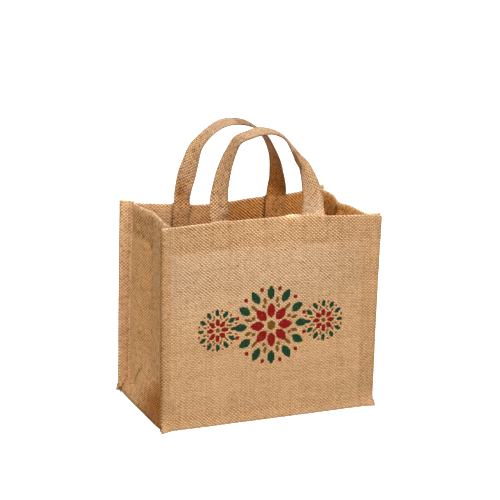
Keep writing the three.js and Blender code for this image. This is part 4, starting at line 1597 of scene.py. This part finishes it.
class JuteBagSettings(PropertyGroup):
    """Sizes and colours of the bag that a user would change."""
    warp_pitch: FloatProperty(
        name="Upright yarn spacing", description="Distance from one upright yarn to the next",
        default=0.00246, min=0.0005, **LENGTH)
    weft_pitch: FloatProperty(
        name="Cross yarn spacing", description="Distance from one cross yarn to the next",
        default=0.00215, min=0.0005, **LENGTH)
    weave_relief: FloatProperty(
        name="Weave relief", description="Height of the yarns in the bump",
        default=0.0006, min=0.0, **LENGTH)
    stitch_length: FloatProperty(
        name="Stitch length", description="Distance from one stitch to the next",
        default=0.0047, min=0.002, **LENGTH)
    thread: FloatProperty(
        name="Thread thickness", description="Thickness of the sewing thread",
        default=0.0007, min=0.0002, **LENGTH)
    print_size: FloatProperty(
        name="Print width", description="Width of the printed ornament",
        default=0.206, min=0.02, **LENGTH)
    print_height: FloatProperty(
        name="Print height", description="Height of the ornament's middle above the foot",
        default=0.137, min=0.02, **LENGTH)
    panel_light: FloatVectorProperty(
        name="Panel yarns", description="Colour of the panels' yarn tops",
        default=(0.84, 0.527, 0.287, 1), **COLOUR)
    panel_dark: FloatVectorProperty(
        name="Panel gaps", description="Colour between the panels' yarns",
        default=(0.27, 0.1, 0.006, 1), **COLOUR)
    # Painted highlight: the colour that the pale mark gives the yarn tops
    pale_light: FloatVectorProperty(
        name="Highlighted yarns", description="Colour of the yarn tops where the cloth is palest",
        default=(0.83, 0.58, 0.37, 1), **COLOUR)
    gusset_light: FloatVectorProperty(
        name="Gusset yarns", description="Colour of the gusset's yarn tops",
        default=(0.86, 0.497, 0.235, 1), **COLOUR)
    gusset_dark: FloatVectorProperty(
        name="Gusset gaps", description="Colour between the gusset's yarns",
        default=(0.25, 0.093, 0.01, 1), **COLOUR)
    strap_light: FloatVectorProperty(
        name="Strap yarns", description="Colour of the straps' yarn tops",
        default=(0.82, 0.515, 0.28, 1), **COLOUR)
    strap_dark: FloatVectorProperty(
        name="Strap gaps", description="Colour between the straps' yarns",
        default=(0.2, 0.07, 0.012, 1), **COLOUR)
    # The reverse colours also serve as painted shade on the gusset's foot facet and inside the hem
    reverse_light: FloatVectorProperty(
        name="Reverse and shaded yarns", description="Colour of the yarn tops on the cloth's reverse side",
        default=(0.9, 0.4, 0.1, 1), **COLOUR)
    reverse_dark: FloatVectorProperty(
        name="Reverse and shaded gaps", description="Colour between the yarns on the cloth's reverse side",
        default=(0.17, 0.035, 0.0, 1), **COLOUR)
    bark: FloatVectorProperty(
        name="Bark specks", description="Colour of the small bits of bark in the jute",
        default=(0.16, 0.075, 0.03, 1), **COLOUR)
    thread_light: FloatVectorProperty(
        name="Thread", description="Colour of the sewing thread",
        default=(0.82, 0.52, 0.29, 1), **COLOUR)
    thread_dark: FloatVectorProperty(
        name="Thread shade", description="Darker colour in the sewing thread's twist",
        default=(0.52, 0.28, 0.12, 1), **COLOUR)
    ink_green: FloatVectorProperty(
        name="Green ink", description="Dark green of the ornament",
        default=(0.008, 0.05, 0.022, 1), **COLOUR)
    ink_red: FloatVectorProperty(
        name="Red ink", description="Dark red of the ornament",
        default=(0.25, 0.008, 0.008, 1), **COLOUR)
    ink_brown: FloatVectorProperty(
        name="Brown ink", description="Dark brown of the ornament",
        default=(0.17, 0.075, 0.012, 1), **COLOUR)
    key_power: FloatProperty(
        name="Key light", description="Power of the main lamp, front right and above",
        default=28.4, min=0.0, unit="POWER")
    fill_power: FloatProperty(
        name="Fill light", description="Power of the second lamp, front left",
        default=18.5, min=0.0, unit="POWER")
    sky: FloatProperty(
        name="Room light", description="Strength of the even white light all round",
        default=0.85, min=0.0)
    floor_glow: FloatProperty(
        name="Floor glow", description="How much the floor lights itself, which thins the shadow",
        default=0.9, min=0.0)


def dress(piece, slot, material, *nodes):
    """Gives a finished piece its material and its body, and hides the nodes that it stands for."""
    piece.data.materials.append(material)
    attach(piece, "root")
    if nodes:
        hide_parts(*nodes)
    return piece


def shared_weave():
    """The weave group, made once."""
    return bpy.data.node_groups.get("Plain jute weave") or weave_group()


def shared_thread(settings):
    """The thread's material, made once."""
    return bpy.data.materials.get("Sewing thread") or thread_material(settings)


class JUTEBAG_OT_panels(Operator):
    """Makes the front and back panels with their sewing."""
    bl_idname = "jute_bag.panels"
    bl_label = "Panels"

    def execute(self, context):
        settings = context.scene.jute_bag
        colours = settings.panel_light, settings.panel_dark
        finishes = {
            "front": jute_material("Printed panel jute", *colours, settings,
                                   printed=ornament(settings), spots=PANEL_SPOTS),
            "back": jute_material("Panel jute", *colours, settings),
        }
        for panel in (FRONT, BACK):
            cloth = panel_sheet(panel)
            dress(cloth, "panel_jute", finishes[panel.name], f"{panel.name}_panel")
            sewing = stitch_rows(f"{panel.name}_panel_stitches", panel_runs(panel), settings)
            dress(sewing, "panel_jute", shared_thread(settings))
        return {"FINISHED"}


class JUTEBAG_OT_gusset(Operator):
    """Makes the strip of the two sides and the base."""
    bl_idname = "jute_bag.gusset"
    bl_label = "Gusset"

    def execute(self, context):
        settings = context.scene.jute_bag
        finish = jute_material("Gusset jute", settings.gusset_light, settings.gusset_dark,
                               settings, spots=GUSSET_SPOTS)
        cloth = gusset_sheet()
        dress(cloth, "gusset_jute", finish, "gusset")
        return {"FINISHED"}


class JUTEBAG_OT_straps(Operator):
    """Makes the two carrying straps."""
    bl_idname = "jute_bag.straps"
    bl_label = "Straps"

    def execute(self, context):
        settings = context.scene.jute_bag
        finish = jute_material("Strap jute", settings.strap_light, settings.strap_dark,
                               settings, lifts=(0.34, 0.62))
        for panel, arch, node in ((FRONT, FRONT_ARCH, "front_handle"),
                                  (BACK, BACK_ARCH, "back_handle")):
            cloth = strap_sheet(panel, arch)
            dress(cloth, "strap_jute", finish, node)
        return {"FINISHED"}


class JUTEBAG_OT_stage(Operator):
    """Makes the floor, the lights and the camera."""
    bl_idname = "jute_bag.stage"
    bl_label = "Stage"

    def execute(self, context):
        settings = context.scene.jute_bag
        self.floor(settings)
        self.room(context, settings)
        for row in LAMPS:
            self.lamp(context, row, getattr(settings, row["power"]))
        self.camera(context)
        return {"FINISHED"}

    def plane(self, name, z, material):
        bm = bmesh.new()
        bmesh.ops.create_grid(bm, x_segments=1, y_segments=1, size=FLOOR_SIZE)
        bmesh.ops.translate(bm, vec=(0, 0, z), verts=bm.verts[:])
        plane = finished(name, bm)
        plane.data.materials.append(material)
        return plane

    def floor(self, settings):
        floor = self.plane("floor", 0, paper_material(settings))
        floor.visible_diffuse = False
        shade = self.plane("floor_shade", -0.001, shade_material())
        shade.visible_camera = False

    def room(self, context, settings):
        world = bpy.data.worlds.new("Even white room")
        world.use_nodes = True
        NodeKit(world.node_tree).finish(
            "ShaderNodeBackground", {"Color": WHITE, "Strength": settings.sky},
            "ShaderNodeOutputWorld")
        context.scene.world = world

    def lamp(self, context, row, power):
        light = bpy.data.lights.new(row["name"], "AREA")
        light.shape = "DISK"
        light.size = LAMP_SIZE
        light.energy = power
        lamp = bpy.data.objects.new(row["name"], light)
        place = Vector(row["place"])
        aim = (LAMP_AIM - place).to_track_quat("-Z", "Y").to_matrix().to_4x4()
        lamp.matrix_world = Matrix.Translation(place) @ aim
        context.scene.collection.objects.link(lamp)

    def camera(self, context):
        flat = math.cos(CAMERA_PITCH)
        back = Vector((math.sin(CAMERA_YAW) * flat, -math.cos(CAMERA_YAW) * flat,
                       math.sin(CAMERA_PITCH)))
        level = Vector((math.cos(CAMERA_YAW), math.sin(CAMERA_YAW), 0))
        upright = back.cross(level)
        right = level * math.cos(CAMERA_ROLL) + upright * math.sin(CAMERA_ROLL)
        up = upright * math.cos(CAMERA_ROLL) - level * math.sin(CAMERA_ROLL)
        lens = bpy.data.cameras.new("Photograph's view")
        lens.lens = CAMERA_LENS
        lens.sensor_width = 36
        lens.clip_end = 100
        camera = bpy.data.objects.new("Photograph's view", lens)
        turned = Matrix((right, up, back)).transposed().to_4x4()
        camera.matrix_world = Matrix.Translation(CAMERA_PLACE) @ turned
        context.scene.collection.objects.link(camera)
        context.scene.camera = camera
        context.scene.view_settings.view_transform = "Standard"


class JUTEBAG_PT_sidebar(Panel):
    """Lists the steps that make the bag, and its settings."""
    bl_idname = "JUTEBAG_PT_sidebar"
    bl_label = "Jute bag"
    bl_space_type = "VIEW_3D"
    bl_region_type = "UI"
    bl_category = "Jute bag"

    def draw(self, context):
        for operator in OPERATORS:
            self.layout.operator(operator.bl_idname)
        for name in JuteBagSettings.__annotations__:
            self.layout.prop(context.scene.jute_bag, name)


OPERATORS = (JUTEBAG_OT_panels, JUTEBAG_OT_gusset, JUTEBAG_OT_straps, JUTEBAG_OT_stage)
CLASSES = (JuteBagSettings, *OPERATORS, JUTEBAG_PT_sidebar)


def register():
    for cls in CLASSES:
        bpy.utils.register_class(cls)
    bpy.types.Scene.jute_bag = PointerProperty(type=JuteBagSettings)


def unregister():
    del bpy.types.Scene.jute_bag
    for cls in reversed(CLASSES):
        bpy.utils.unregister_class(cls)


def main():
    register()
    bpy.ops.jute_bag.panels()
    bpy.ops.jute_bag.gusset()
    bpy.ops.jute_bag.straps()
    bpy.ops.jute_bag.stage()


if __name__ == "__main__":
    main()
